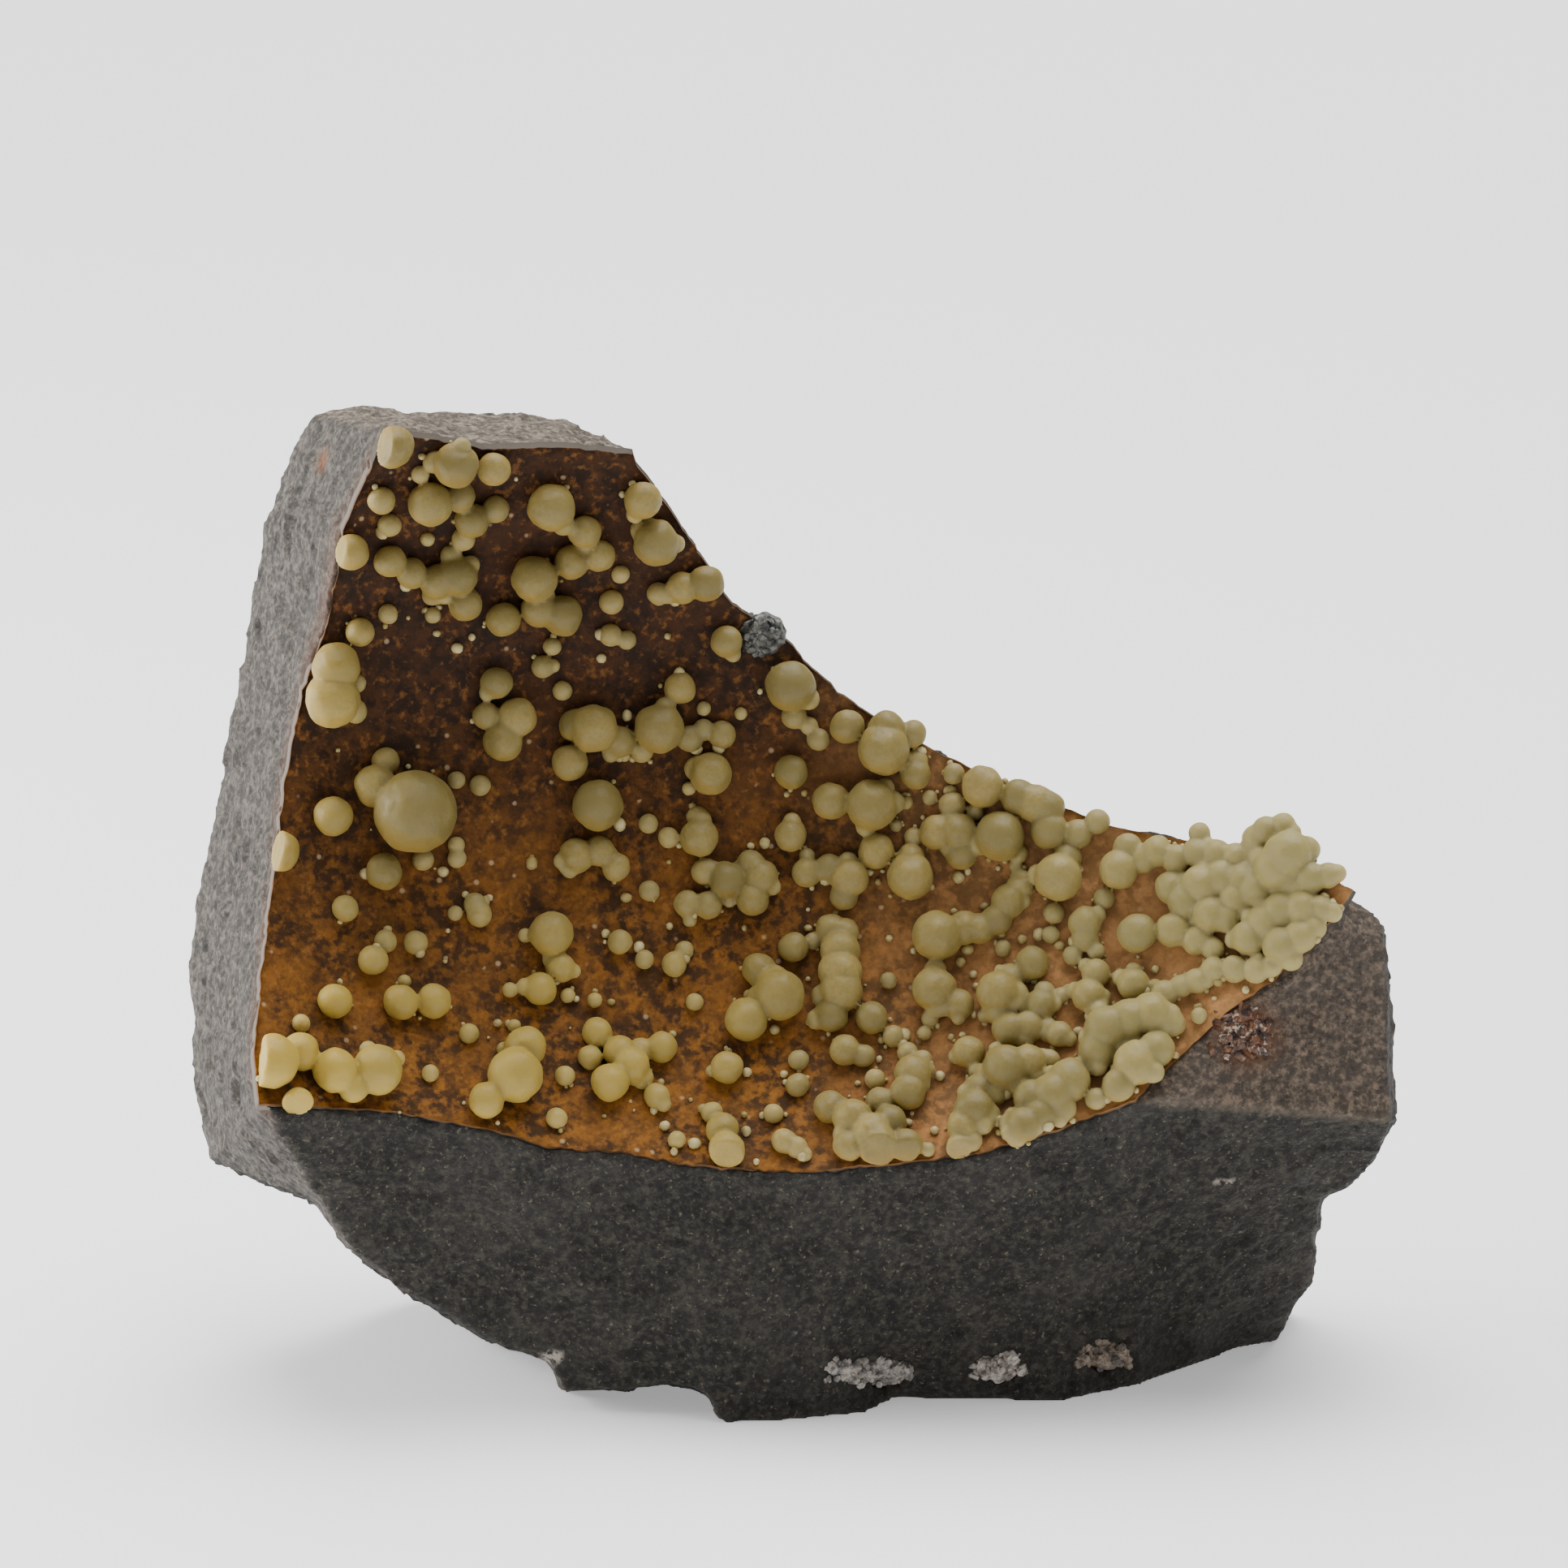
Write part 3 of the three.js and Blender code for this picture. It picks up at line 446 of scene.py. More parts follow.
# The calcite balls. Each is [across, up, radius] as seen from the front. "L" and "F" mark balls that the
# break cut flat, at the left face and at the lower rim.
calciteBalls = [
    # upper left
    [-43.0, 105.8, 2.3, "L"], [-36.1, 103.8, 2.45], [-38.5, 104.2, 1.2], [-40.0, 102.8, 1.0],
    [-38.9, 99.6, 2.4], [-35.7, 100.4, 1.7], [-32.0, 103.4, 1.8], [-34.4, 97.8, 1.9], [-31.8, 99.0, 1.5],
    [-25.8, 99.2, 2.6], [-44.2, 100.0, 1.5], [-43.3, 97.3, 1.3], [-47.5, 94.4, 1.95, "L"],
    [-43.2, 93.4, 1.75], [-40.9, 92.1, 1.7], [-38.2, 91.2, 1.9], [-36.0, 91.8, 2.2], [-36.6, 94.0, 1.2],
    [-35.1, 88.8, 1.9], [-38.6, 89.8, 1.2], [-35.3, 95.8, 1.3], [-43.5, 87.7, 1.1], [-38.6, 87.6, 0.9],
    [-46.5, 85.7, 1.6], [-39.2, 95.8, 0.8], [-27.6, 91.5, 2.5], [-31.0, 87.1, 1.9], [-24.6, 87.5, 2.2],
    [-27.1, 88.2, 2.0], [-23.6, 93.3, 1.9], [-22.2, 96.6, 1.8], [-20.6, 94.0, 1.75], [-18.3, 92.0, 1.0],
    [-15.9, 100.0, 2.0], [-14.4, 95.4, 2.5], [-16.0, 96.8, 1.3], [-14.2, 89.9, 1.25], [-11.7, 90.5, 1.75],
    [-9.0, 91.0, 2.0], [-19.3, 89.0, 1.35], [-19.4, 85.4, 1.25], [-17.6, 84.9, 1.05], [-20.4, 82.9, 0.5],
    [-6.8, 84.7, 1.75], [-26.7, 82.0, 1.25], [-25.7, 84.2, 1.0], [-49.1, 82.0, 2.6, "L"],
    [-49.5, 78.4, 3.0, "L"], [-46.8, 80.2, 1.0], [-47.1, 77.2, 1.3], [-13.2, 85.3, 0.35],
    [-29.6, 102.3, 0.25], [-41.3, 87.3, 0.25], [-38.2, 85.6, 0.4], [-36.0, 84.0, 0.7], [-34.4, 85.2, 0.4],
    # middle
    [-31.7, 80.25, 1.75], [-24.6, 79.4, 1.1], [-32.8, 76.7, 1.5], [-29.5, 76.5, 2.15], [-31.0, 73.9, 2.15],
    [-43.7, 71.8, 1.5], [-44.8, 69.1, 2.3], [-40.5, 66.3, 4.5], [-39.7, 61.1, 1.2], [-36.1, 69.7, 1.0],
    [-33.5, 69.1, 1.15], [-41.3, 71.2, 0.3], [-49.4, 65.8, 2.1], [-55.2, 62.0, 2.2, "L"], [-43.9, 59.8, 2.0],
    [-45.9, 59.6, 0.7], [-36.1, 62.7, 0.95], [-36.0, 61.2, 1.05], [-37.5, 59.8, 0.6], [-27.9, 60.7, 0.7],
    [-23.1, 61.5, 1.9], [-20.6, 62.0, 1.7], [-18.8, 60.3, 1.6], [-23.2, 75.6, 1.8], [-21.2, 75.3, 2.65],
    [-18.4, 73.9, 1.8], [-23.8, 71.6, 2.0], [-20.8, 67.0, 2.75], [-14.1, 75.3, 2.7], [-16.0, 72.9, 1.3],
    [-10.8, 74.2, 1.5], [-9.3, 75.1, 1.2], [-9.3, 77.5, 0.8], [-7.3, 74.6, 1.55], [-11.9, 79.7, 1.75],
    [-17.6, 76.7, 0.65], [-5.3, 76.9, 0.75], [0.1, 79.9, 2.75], [-3.2, 79.3, 0.35], [0.5, 76.6, 1.4],
    [2.1, 75.6, 1.0], [3.1, 74.1, 1.25], [6.2, 75.5, 1.9], [10.5, 75.3, 2.0], [10.2, 73.0, 2.8],
    [-8.5, 70.4, 2.3], [-10.0, 71.0, 1.4], [-10.9, 68.8, 0.75], [0.2, 70.6, 1.85], [-0.3, 68.2, 0.4],
    [1.6, 68.3, 0.4], [4.5, 67.4, 2.05], [8.9, 67.0, 2.8], [0.1, 63.7, 1.8], [-15.3, 65.0, 1.1],
    [-13.1, 63.5, 1.15], [-9.8, 63.5, 2.1], [-10.0, 65.7, 1.2], [-2.7, 62.9, 0.6], [-4.2, 62.6, 0.4],
    [-18.4, 64.9, 0.7], [-9.2, 59.8, 1.5], [-6.8, 58.9, 2.0], [-4.2, 60.6, 1.6], [-3.1, 59.2, 1.9],
    [-4.0, 56.8, 1.8], [-15.2, 57.7, 1.15], [-17.7, 57.0, 0.6], [-11.1, 56.3, 1.5], [-8.8, 56.2, 1.55],
    [-10.8, 54.6, 0.8], [-6.5, 56.7, 0.8], [1.8, 59.7, 1.6], [1.9, 61.5, 0.9], [4.3, 60.2, 1.6],
    [6.5, 59.1, 2.1], [5.9, 57.2, 1.6], [9.4, 62.0, 2.0],
    # lower left
    [-48.1, 55.85, 1.45], [-43.8, 52.3, 1.25], [-45.1, 50.2, 1.65], [-40.5, 52.1, 1.3], [-36.2, 55.3, 0.85],
    [-33.6, 55.2, 1.4], [-34.1, 56.4, 1.2], [-32.5, 57.0, 0.4], [-37.0, 53.4, 0.3], [-49.2, 45.8, 1.85],
    [-42.1, 45.7, 1.9], [-41.7, 47.9, 0.8], [-38.5, 45.8, 1.9], [-25.8, 53.1, 2.45], [-28.6, 52.9, 0.8],
    [-24.8, 49.4, 1.65], [-27.0, 47.1, 1.8], [-30.3, 47.0, 0.85], [-24.0, 46.4, 0.85], [-52.9, 43.4, 1.0],
    [-56.0, 39.3, 2.9, "L"], [-53.0, 40.3, 2.1], [-49.2, 38.3, 2.4], [-47.2, 36.5, 1.7],
    [-44.6, 38.4, 2.7], [-53.2, 34.8, 1.65, "F"], [-57.4, 37.4, 0.4], [-38.9, 38.0, 0.95], [-34.7, 42.3, 1.1],
    [-31.6, 43.4, 0.5], [-28.6, 40.8, 2.3], [-29.7, 37.8, 3.0], [-29.8, 43.1, 0.75], [-32.8, 35.1, 1.95],
    [-31.0, 40.6, 0.8], [-24.3, 37.7, 1.1], [-25.2, 33.1, 1.15], [-31.6, 32.6, 0.3],
    # lower middle
    [-18.4, 52.2, 1.35], [-19.9, 53.1, 0.5], [-20.0, 52.2, 0.25], [-15.7, 50.3, 1.05], [-16.3, 51.6, 0.65],
    [-12.5, 49.8, 1.4], [-11.4, 51.3, 1.05], [-13.0, 53.9, 0.4], [-4.9, 53.7, 0.35], [2.0, 55.7, 0.25],
    [2.0, 53.7, 0.45], [10.8, 52.6, 0.4], [-10.3, 45.7, 1.0], [-21.1, 45.9, 0.85], [-19.3, 45.7, 0.4],
    [0.4, 51.6, 1.65], [2.5, 52.3, 0.95], [4.4, 53.7, 1.6], [6.0, 53.2, 1.55], [5.4, 51.2, 2.2],
    [5.5, 48.9, 2.45], [5.6, 46.9, 2.4], [4.5, 44.3, 1.9], [2.1, 43.5, 0.35], [2.0, 48.2, 0.3],
    [-3.3, 49.2, 1.85], [-1.7, 47.6, 2.1], [-1.1, 46.4, 2.75], [-4.7, 43.8, 2.35], [-3.0, 45.9, 1.8],
    [-1.6, 42.7, 0.55], [8.9, 44.0, 1.8], [11.3, 42.0, 1.25], [10.7, 48.0, 0.95], [-20.8, 42.4, 1.65],
    [-21.6, 39.7, 1.35], [-18.4, 40.3, 1.8], [-19.4, 37.0, 2.1], [-17.1, 38.8, 2.05], [-15.9, 37.5, 1.2],
    [-16.1, 40.5, 1.35], [-13.8, 40.8, 1.7], [-14.35, 35.5, 1.45], [-14.7, 34.0, 0.5], [-6.8, 38.6, 1.8],
    [-6.6, 40.4, 0.35], [-4.6, 38.1, 0.5], [1.0, 39.4, 1.15], [0.9, 36.7, 1.3], [-0.6, 37.9, 0.45],
    [-10.7, 35.1, 0.25], [-13.5, 32.3, 0.6], [-12.2, 30.8, 1.0], [-10.3, 30.4, 0.7], [-12.5, 29.5, 0.45],
    [-8.4, 33.7, 1.2], [-7.3, 31.9, 1.8], [-6.8, 29.7, 2.0, "F"], [-4.7, 31.7, 0.65], [-4.9, 33.5, 0.4],
    [-3.6, 28.4, 0.4], [-1.7, 33.6, 1.1], [-0.6, 30.6, 1.4], [0.8, 29.9, 1.2], [1.7, 29.2, 0.8],
    [6.0, 40.5, 1.7], [8.0, 39.9, 1.3], [9.7, 39.5, 0.4], [9.3, 37.3, 1.15], [7.4, 36.9, 0.35],
    [4.4, 34.3, 1.8], [6.9, 33.0, 2.2], [9.8, 34.9, 1.6], [8.9, 31.4, 2.3], [6.4, 30.2, 1.7, "F"],
    [10.8, 32.7, 1.9], [9.6, 30.2, 2.2, "F"], [12.6, 30.2, 1.8, "F"], [15.0, 29.7, 0.8, "F"],
    # right middle
    [13.4, 74.7, 1.5], [13.7, 71.8, 1.3], [13.6, 70.4, 1.7], [12.6, 67.3, 0.8], [15.2, 67.8, 0.85],
    [11.5, 64.8, 0.75], [17.8, 70.4, 1.15], [20.9, 69.0, 2.3], [17.4, 68.6, 0.7], [17.6, 67.0, 1.5],
    [20.1, 66.3, 1.0], [15.9, 64.1, 1.9], [18.3, 64.1, 2.1], [18.6, 61.7, 1.75], [13.4, 63.6, 1.0],
    [18.3, 59.2, 0.7], [22.8, 63.6, 2.7], [24.8, 67.9, 2.0], [26.5, 67.2, 2.1], [28.1, 64.3, 2.05],
    [27.9, 66.7, 1.9], [24.8, 61.7, 1.1], [24.5, 60.4, 0.75], [31.2, 63.9, 1.6], [33.3, 65.2, 1.4],
    [22.6, 60.2, 0.3], [29.1, 59.2, 2.6], [30.1, 61.3, 1.6], [28.6, 55.3, 1.2], [28.3, 53.0, 1.0],
    [27.0, 53.0, 0.7], [29.2, 51.8, 0.6], [34.1, 56.9, 1.2], [32.0, 54.3, 1.8], [32.0, 52.6, 1.5],
    [30.7, 50.7, 1.1], [33.2, 51.2, 1.0], [13.1, 59.3, 2.55], [13.1, 61.3, 1.6], [9.6, 58.7, 0.4],
    [24.9, 59.2, 1.0], [24.9, 58.0, 1.5], [23.7, 56.6, 1.9], [22.4, 54.6, 1.7], [16.0, 52.9, 2.7],
    [18.9, 53.7, 1.9], [20.6, 53.6, 1.7], [19.3, 51.4, 0.7], [18.5, 50.0, 0.6], [25.2, 52.5, 0.55],
    [36.6, 62.4, 1.6], [35.6, 60.0, 2.15], [38.3, 61.2, 1.6], [39.8, 62.0, 1.7], [41.8, 61.2, 1.6],
    # lower right
    [19.9, 48.7, 0.45], [23.1, 51.5, 0.95], [15.6, 47.1, 2.4], [18.3, 45.4, 1.7], [15.2, 43.9, 0.95],
    [14.6, 42.3, 0.85], [12.8, 40.2, 1.15], [13.4, 38.0, 2.0], [12.8, 35.9, 1.95], [16.3, 37.7, 0.6],
    [17.5, 41.9, 0.4], [12.8, 32.7, 0.5], [15.7, 31.8, 0.55], [22.7, 31.6, 0.45], [19.4, 40.3, 1.75],
    [26.3, 49.9, 1.85], [23.9, 48.3, 1.6], [22.6, 46.7, 2.4], [22.3, 44.9, 1.6], [27.2, 45.4, 1.75],
    [29.4, 46.4, 0.95], [30.3, 46.9, 0.8], [33.2, 48.8, 1.6], [32.4, 46.4, 1.85], [32.5, 44.2, 0.6],
    [37.6, 53.1, 2.15], [41.5, 53.5, 1.9], [37.2, 47.6, 1.8], [39.6, 49.2, 0.5], [34.4, 42.7, 2.6],
    [36.8, 43.7, 2.4], [39.2, 44.4, 2.3], [41.4, 43.4, 1.5], [33.4, 40.5, 2.1], [40.6, 46.6, 1.5],
    [42.4, 47.4, 1.3], [37.5, 39.1, 2.4], [39.7, 40.6, 2.0], [35.6, 36.7, 1.8], [33.2, 35.2, 1.2],
    [34.2, 37.3, 0.4], [41.8, 39.9, 0.45], [23.8, 42.7, 1.9], [25.8, 43.0, 1.75], [27.9, 43.0, 1.1],
    [29.2, 42.2, 1.45], [31.3, 42.5, 0.6], [23.4, 38.6, 2.5], [25.8, 39.1, 2.0], [28.2, 39.4, 1.15],
    [21.4, 37.7, 1.5], [20.5, 36.2, 1.7], [20.0, 34.1, 2.2], [18.8, 32.2, 1.8], [22.2, 35.8, 1.4],
    [21.4, 33.4, 1.5], [30.3, 37.2, 2.3], [28.6, 35.8, 2.3], [26.2, 35.3, 2.0], [27.2, 33.6, 1.8],
    [25.3, 32.4, 1.9], [29.6, 34.1, 1.5], [24.6, 31.2, 1.2], [24.8, 36.7, 1.5], [18.3, 30.0, 1.4, "F"],
    [19.8, 30.6, 1.1, "F"],
    # far right
    [44.4, 64.0, 1.2], [44.1, 61.9, 1.6], [46.2, 61.7, 1.6], [48.2, 61.4, 1.5], [49.7, 61.9, 1.2],
    [50.5, 63.4, 1.5], [51.7, 64.2, 1.6], [53.4, 64.8, 1.4], [54.3, 63.9, 1.2], [54.0, 61.7, 2.6],
    [56.0, 62.2, 1.5], [52.7, 60.2, 2.4], [56.3, 59.1, 1.8], [58.3, 59.4, 1.4], [59.3, 59.6, 1.0],
    [55.0, 58.4, 1.6], [41.3, 58.1, 1.8], [42.9, 56.6, 2.0], [44.6, 58.4, 2.2], [46.7, 59.1, 2.0],
    [48.9, 58.9, 1.8], [50.5, 57.9, 1.9], [48.2, 56.9, 1.8], [45.6, 55.3, 2.0], [47.2, 54.8, 1.7],
    [44.1, 52.3, 1.6], [45.8, 51.5, 1.3], [49.7, 52.6, 1.9], [51.5, 54.3, 2.0], [53.2, 55.6, 2.0],
    [55.5, 55.8, 1.9], [57.5, 55.8, 1.5], [58.8, 55.3, 1.0], [53.2, 51.8, 2.0], [55.3, 52.8, 1.8],
    [56.8, 53.8, 1.4], [54.3, 50.3, 1.3], [45.9, 49.1, 1.5], [44.1, 48.0, 1.4], [48.2, 49.3, 1.5],
    [50.5, 49.1, 1.4], [52.2, 49.5, 1.2], [44.3, 44.2, 0.9], [46.0, 46.1, 0.3], [49.4, 47.0, 0.4],
]

ballSettings = {
    "smallest": 0.75,       # smaller ones are made as buds
    "lift": 0.5,            # least height of the centre above the wall, as a share of the radius
    "root": 0.8,
    "merge": 0.09,          # width of the fillet where two balls meet
    "cutProud": 0.1,        # how far a cut ball stands out of the break
    "cell": 0.31,           # size of a mesh cell
    "room": 5.5,            # free space around them all
    "reach": 1.0,           # how far outside a ball it still counts
    "waveSize": 1.9,
    "waveDepth": 0.15,
    "grainSize": 0.75,
    "grainDepth": 0.035,
}
sideBalls = {  # small balls that grow on the sides of the larger ones
    "crowded": 2.4,         # how many a ball has on average, at the far right and lower right
    "elsewhere": 0.5,
    "share": (0.35, 0.62),  # radius, as a share of the larger ball's
    "largest": 1.25,
    "out": 0.86,            # distance of the centres, as a share of the larger ball's radius
    "carrier": 1.1,         # least radius of a ball that has them
    "seed": 23,
}
leftBreak = [  # the left face: a place on its rim, and a place further back [across, up, depth]
    [[-57.4, 34.7], [-62.9, 28.9, 22]], [[-56.9, 50.4], [-65.3, 50.5, 31]],
    [[-54.7, 68.8], [-61.9, 69.0, 35]], [[-52.7, 79.2], [-60.2, 79.4, 36]],
    [[-48.2, 96.8], [-56.7, 97.0, 36]], [[-43.9, 107.2], [-51.4, 109.2, 36]],
]
lowerBreak = [  # the lower rim, and a place further down
    [[-57.4, 34.7], [-57.0, 1.0, 10]], [[-32.8, 32.1], [-31.0, 1.5, 9]], [[-12.5, 28.4], [-12.9, 3.0, 6]],
    [[0.3, 27.4], [0.0, 0.8, 4]], [[12.0, 28.3], [11.5, 1.5, 6]], [[20.0, 29.3], [20.2, 2.0, 8]],
    [[37.3, 35.1], [37.8, 4.2, 12]],
]


def breakPlane(rows, place, axis):  # the plane of a break near a ball: a point and its outward direction
    stops = [row[0][axis] for row in rows]
    k = int(np.clip(np.searchsorted(stops, place) - 1, 0, len(rows) - 2))
    a, b = onWall(*rows[k][0]), onWall(*rows[k + 1][0])
    outward = np.cross(b - a, atDepth(*rows[k][1]) - a)
    outward /= np.linalg.norm(outward)
    return a, outward * (-1 if outward @ (np.array([0.0, 30.0, 40.0]) - a) > 0 else 1)


def smallerBalls():  # place, radius and the radius of the ball that each grows on
    dice = np.random.default_rng(sideBalls["seed"])
    more = []
    for across, up, radius, *cut in calciteBalls:
        crowded = (across > 41 and up > 48) or (across > 12 and up < 50)
        for _ in range(dice.poisson(sideBalls["crowded" if crowded else "elsewhere"])):
            turn, share = dice.uniform(0, 2 * math.pi), dice.uniform(*sideBalls["share"])
            size, out = min(radius * share, sideBalls["largest"]), radius * sideBalls["out"]
            place = [across + math.cos(turn) * out, up + math.sin(turn) * out]
            if radius > sideBalls["carrier"] and not cut and size > ballSettings["smallest"] * 0.8:
                more.append((place, size, radius))
    return more


def ballForms():
    forms = []
    for across, up, radius, *cut in calciteBalls:
        lift = max(radius * ballSettings["lift"], 1.1 * radius - ballSettings["root"])
        form = {"centre": onWall(across, up, lift), "radius": radius, "cut": None}
        if cut:
            form["cut"] = breakPlane(leftBreak, up, 1) if cut[0] == "L" else breakPlane(lowerBreak, across, 0)
        forms.append(form)
    border = rimPoints(1.0)
    for place, size, radius in smallerBalls():
        if insideRim(np.array([place]), border)[0]:
            lift = max(0.7 * radius - 0.3, 0.5 * size)
            forms.append({"centre": onWall(*place, lift), "radius": size, "cut": None})
    return forms


def formDistance(form, points):
    away = np.linalg.norm(points - form["centre"], axis=-1) - form["radius"]
    if form["cut"] is None:
        return away
    place, outward = form["cut"]
    return np.maximum(away, (points - place) @ outward - ballSettings["cutProud"])


def ballField(forms, points):  # distance to the grown-together balls, and the nearest ball of each point
    tree = KDTree(len(points))
    for i, p in enumerate(points):
        tree.insert(Vector(p), i)
    tree.balance()
    total = np.full(len(points), 1e-12)
    best, nearest = np.full(len(points), np.inf), np.zeros(len(points), int)
    for k, form in enumerate(forms):
        found = tree.find_range(Vector(form["centre"]), form["radius"] + ballSettings["reach"])
        picked = np.array([f[1] for f in found], int)
        if not len(picked):
            continue
        away = formDistance(form, points[picked])
        total[picked] += np.exp(-away / ballSettings["merge"])
        nearer = away < best[picked]
        best[picked[nearer]] = away[nearer]
        nearest[picked[nearer]] = k
    return -ballSettings["merge"] * np.log(total), nearest


def netSurface(values, corner, cell):  # a closed quad mesh where the values pass through zero
    inside = values < 0
    mixed = np.zeros(tuple(n - 1 for n in values.shape), np.int8)
    corners = list(itertools.product((0, 1), repeat=3))
    for i, j, k in corners:
        mixed += inside[i:i + mixed.shape[0], j:j + mixed.shape[1], k:k + mixed.shape[2]]
    cells = np.argwhere((mixed > 0) & (mixed < 8))
    number = np.full(mixed.shape, -1, np.int32)
    number[tuple(cells.T)] = np.arange(len(cells))
    total, count = np.zeros((len(cells), 3)), np.zeros(len(cells))
    for a in corners:
        for axis in range(3):
            if a[axis]:
                continue
            b = tuple(a[n] + (n == axis) for n in range(3))
            va, vb = values[tuple((cells + a).T)], values[tuple((cells + b).T)]
            crossed = (va < 0) != (vb < 0)
            share = np.where(crossed, va / np.where(crossed, va - vb, 1), 0)
            spot = np.array(a, float)[None, :].repeat(len(cells), 0)
            spot[:, axis] += share
            total += spot * crossed[:, None]
            count += crossed
    points = corner + cell * (cells + total / count[:, None])
    faces = []
    for axis in range(3):
        u, v = (axis + 1) % 3, (axis + 2) % 3
        near = np.take(inside, range(values.shape[axis] - 1), axis)
        far = np.take(inside, range(1, values.shape[axis]), axis)
        edges = np.argwhere(near != far)
        edges = edges[(edges[:, u] > 0) & (edges[:, v] > 0)]
        stepU, stepV = np.eye(3, dtype=int)[u], np.eye(3, dtype=int)[v]
        ring = [edges, edges - stepU, edges - stepU - stepV, edges - stepV]
        quads = np.stack([number[tuple(r.T)] for r in ring], axis=1)
        outward = near[tuple(edges.T)]
        quads[~outward] = quads[~outward][:, ::-1]
        faces.append(quads)
    return points, np.concatenate(faces)


def ballGrid(forms):  # the same distance on a regular grid
    cell, reach, merge = (ballSettings[k] for k in ("cell", "reach", "merge"))
    centres = np.array([f["centre"] for f in forms])
    corner = centres.min(0) - ballSettings["room"]
    shape = np.ceil((centres.max(0) + ballSettings["room"] - corner) / cell).astype(int) + 1
    total = np.full(tuple(shape), 1e-12, np.float32)
    for form in forms:
        around = form["radius"] + reach
        low = np.floor((form["centre"] - around - corner) / cell).astype(int)
        high = np.ceil((form["centre"] + around - corner) / cell).astype(int) + 1
        ranges = [np.arange(low[n], high[n]) for n in range(3)]
        grid = np.stack(np.meshgrid(*ranges, indexing="ij"), axis=-1) * cell + corner
        part = tuple(slice(low[n], high[n]) for n in range(3))
        total[part] += np.exp(-formDistance(form, grid) / merge).astype(np.float32)
    return -merge * np.log(total), corner


def makeBalls():
    forms = [f for f in ballForms() if f["radius"] >= ballSettings["smallest"]]
    points, faces = netSurface(*ballGrid(forms), ballSettings["cell"])
    balls = makePiece("calciteBalls", points, faces)
    normals = readNormals(balls.data)
    for _ in range(2):  # settle on the true surface
        away, nearest = ballField(forms, points)
        points = points - normals * np.clip(away, -0.2, 0.2)[:, None]
    radii = np.array([f["radius"] for f in forms])[nearest]
    rough = ballSettings["waveDepth"] * softNoise(points, ballSettings["waveSize"], 61)
    rough += ballSettings["grainDepth"] * softNoise(points, ballSettings["grainSize"], 62)
    rough *= np.clip(radii / 2.0, 0.4, 1.2)
    writePoints(balls.data, points + normals * rough[:, None])
    tones = np.random.default_rng(7).random(len(forms))[nearest]
    paintBalls(balls.data, points, radii, tones)
    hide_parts("calcite_crust")
    print("balls:", len(balls.data.vertices), "points", len(balls.data.polygons), "quads")
    return balls


def paintBalls(mesh, points, radii, tones):
    edges = edgeArray(mesh)
    across, up = seenAt(points)
    downward = np.array([-0.3, 0.1, -0.95])
    golden = softStep(8, -20, across) * softStep(58, 44, up) + softStep(-44, -50, across) * 0.6
    # painted light: near the wall each ball is tinted golden, standing in for its contact shade and for light
    # shining through the waxy ball
    paint(mesh, "crown", np.clip(-wallDepth(points) / (1.6 * radii), 0, 1))
    # painted light: the sides that face downward are tinted golden, standing in for light that shines through
    # the balls from above
    paint(mesh, "under", softStep(0.0, 0.9, readNormals(mesh) @ downward))
    paint(mesh, "tone", spread(tones, edges, 4))
    paint(mesh, "small", spread(softStep(1.9, 0.8, radii), edges, 3))
    paint(mesh, "golden", golden)
    paint(mesh, "frosty", softStep(16, 52, across))


# Tiny frosted buds between the balls

budSettings = {
    "perBall": 0.9,         # how many grow around a ball, where they are scarce
    "size": (0.18, 0.44),
    "out": (0.97, 1.2),     # distance from the ball's centre, as a share of its radius
    "alone": 50,            # how many more are scattered on the lining
    "aloneSize": (0.14, 0.3),
    "aloneFrom": (-50.0, 33.0),
    "aloneTo": (54.0, 74.0),
    "pastRim": (0.9, 1.2),  # a bud is left out if the solid crust is further off, in all or along an axis
    "rough": 0.12,
    "seed": 5,
}


def roundMesh(rounds):  # points and triangles of a ball of radius 1
    shape = bmesh.new()
    bmesh.ops.create_icosphere(shape, subdivisions=rounds, radius=1.0)
    points = np.array([v.co[:] for v in shape.verts])
    faces = [[v.index for v in f.verts] for f in shape.faces]
    shape.free()
    return points, np.array(faces)


def budSpots(dice):
    spots = [(f["centre"], f["radius"]) for f in ballForms() if f["radius"] < ballSettings["smallest"]]
    for across, up, radius, *cut in calciteBalls:
        if radius < ballSettings["smallest"] or cut:
            continue
        crowding = 0.5 + 0.8 * (across > 8) + 0.4 * (up < 60)
        for _ in range(dice.poisson(budSettings["perBall"] * crowding)):
            turn, size = dice.uniform(0, 2 * math.pi), dice.uniform(*budSettings["size"])
            out = radius * dice.uniform(*budSettings["out"])
            spots.append((onWall(across + out * math.cos(turn), up + out * math.sin(turn), size * 0.5), size))
    for _ in range(budSettings["alone"]):
        across, up = dice.uniform(budSettings["aloneFrom"], budSettings["aloneTo"])
        spots.append((onWall(across, up, 0.1), dice.uniform(*budSettings["aloneSize"])))
    return spots


def makeBuds():
    dice = np.random.default_rng(budSettings["seed"])
    tree = cadTree("calcite_crust")
    unit, corners = roundMesh(2)
    far, farAlong = budSettings["pastRim"]
    points, faces = [], []
    for centre, size in budSpots(dice):
        place, _, _, gap = tree.find_nearest(Vector(toModel(centre)))
        if gap > far / 1000 or np.any(np.abs(toSighting(place) - centre) > farAlong):
            continue
        lump = unit * (size * dice.uniform(0.85, 1.15, 3))
        lump = lump * (1 + budSettings["rough"] * softNoise(unit + centre, 0.8, 71))[:, None]
        faces.append(corners + len(points) * len(unit))
        points.append(lump + centre)
    buds = makePiece("frostBuds", np.concatenate(points), np.concatenate(faces))
    print("buds:", len(points))
    return buds


# The small crystal patches on the broken faces

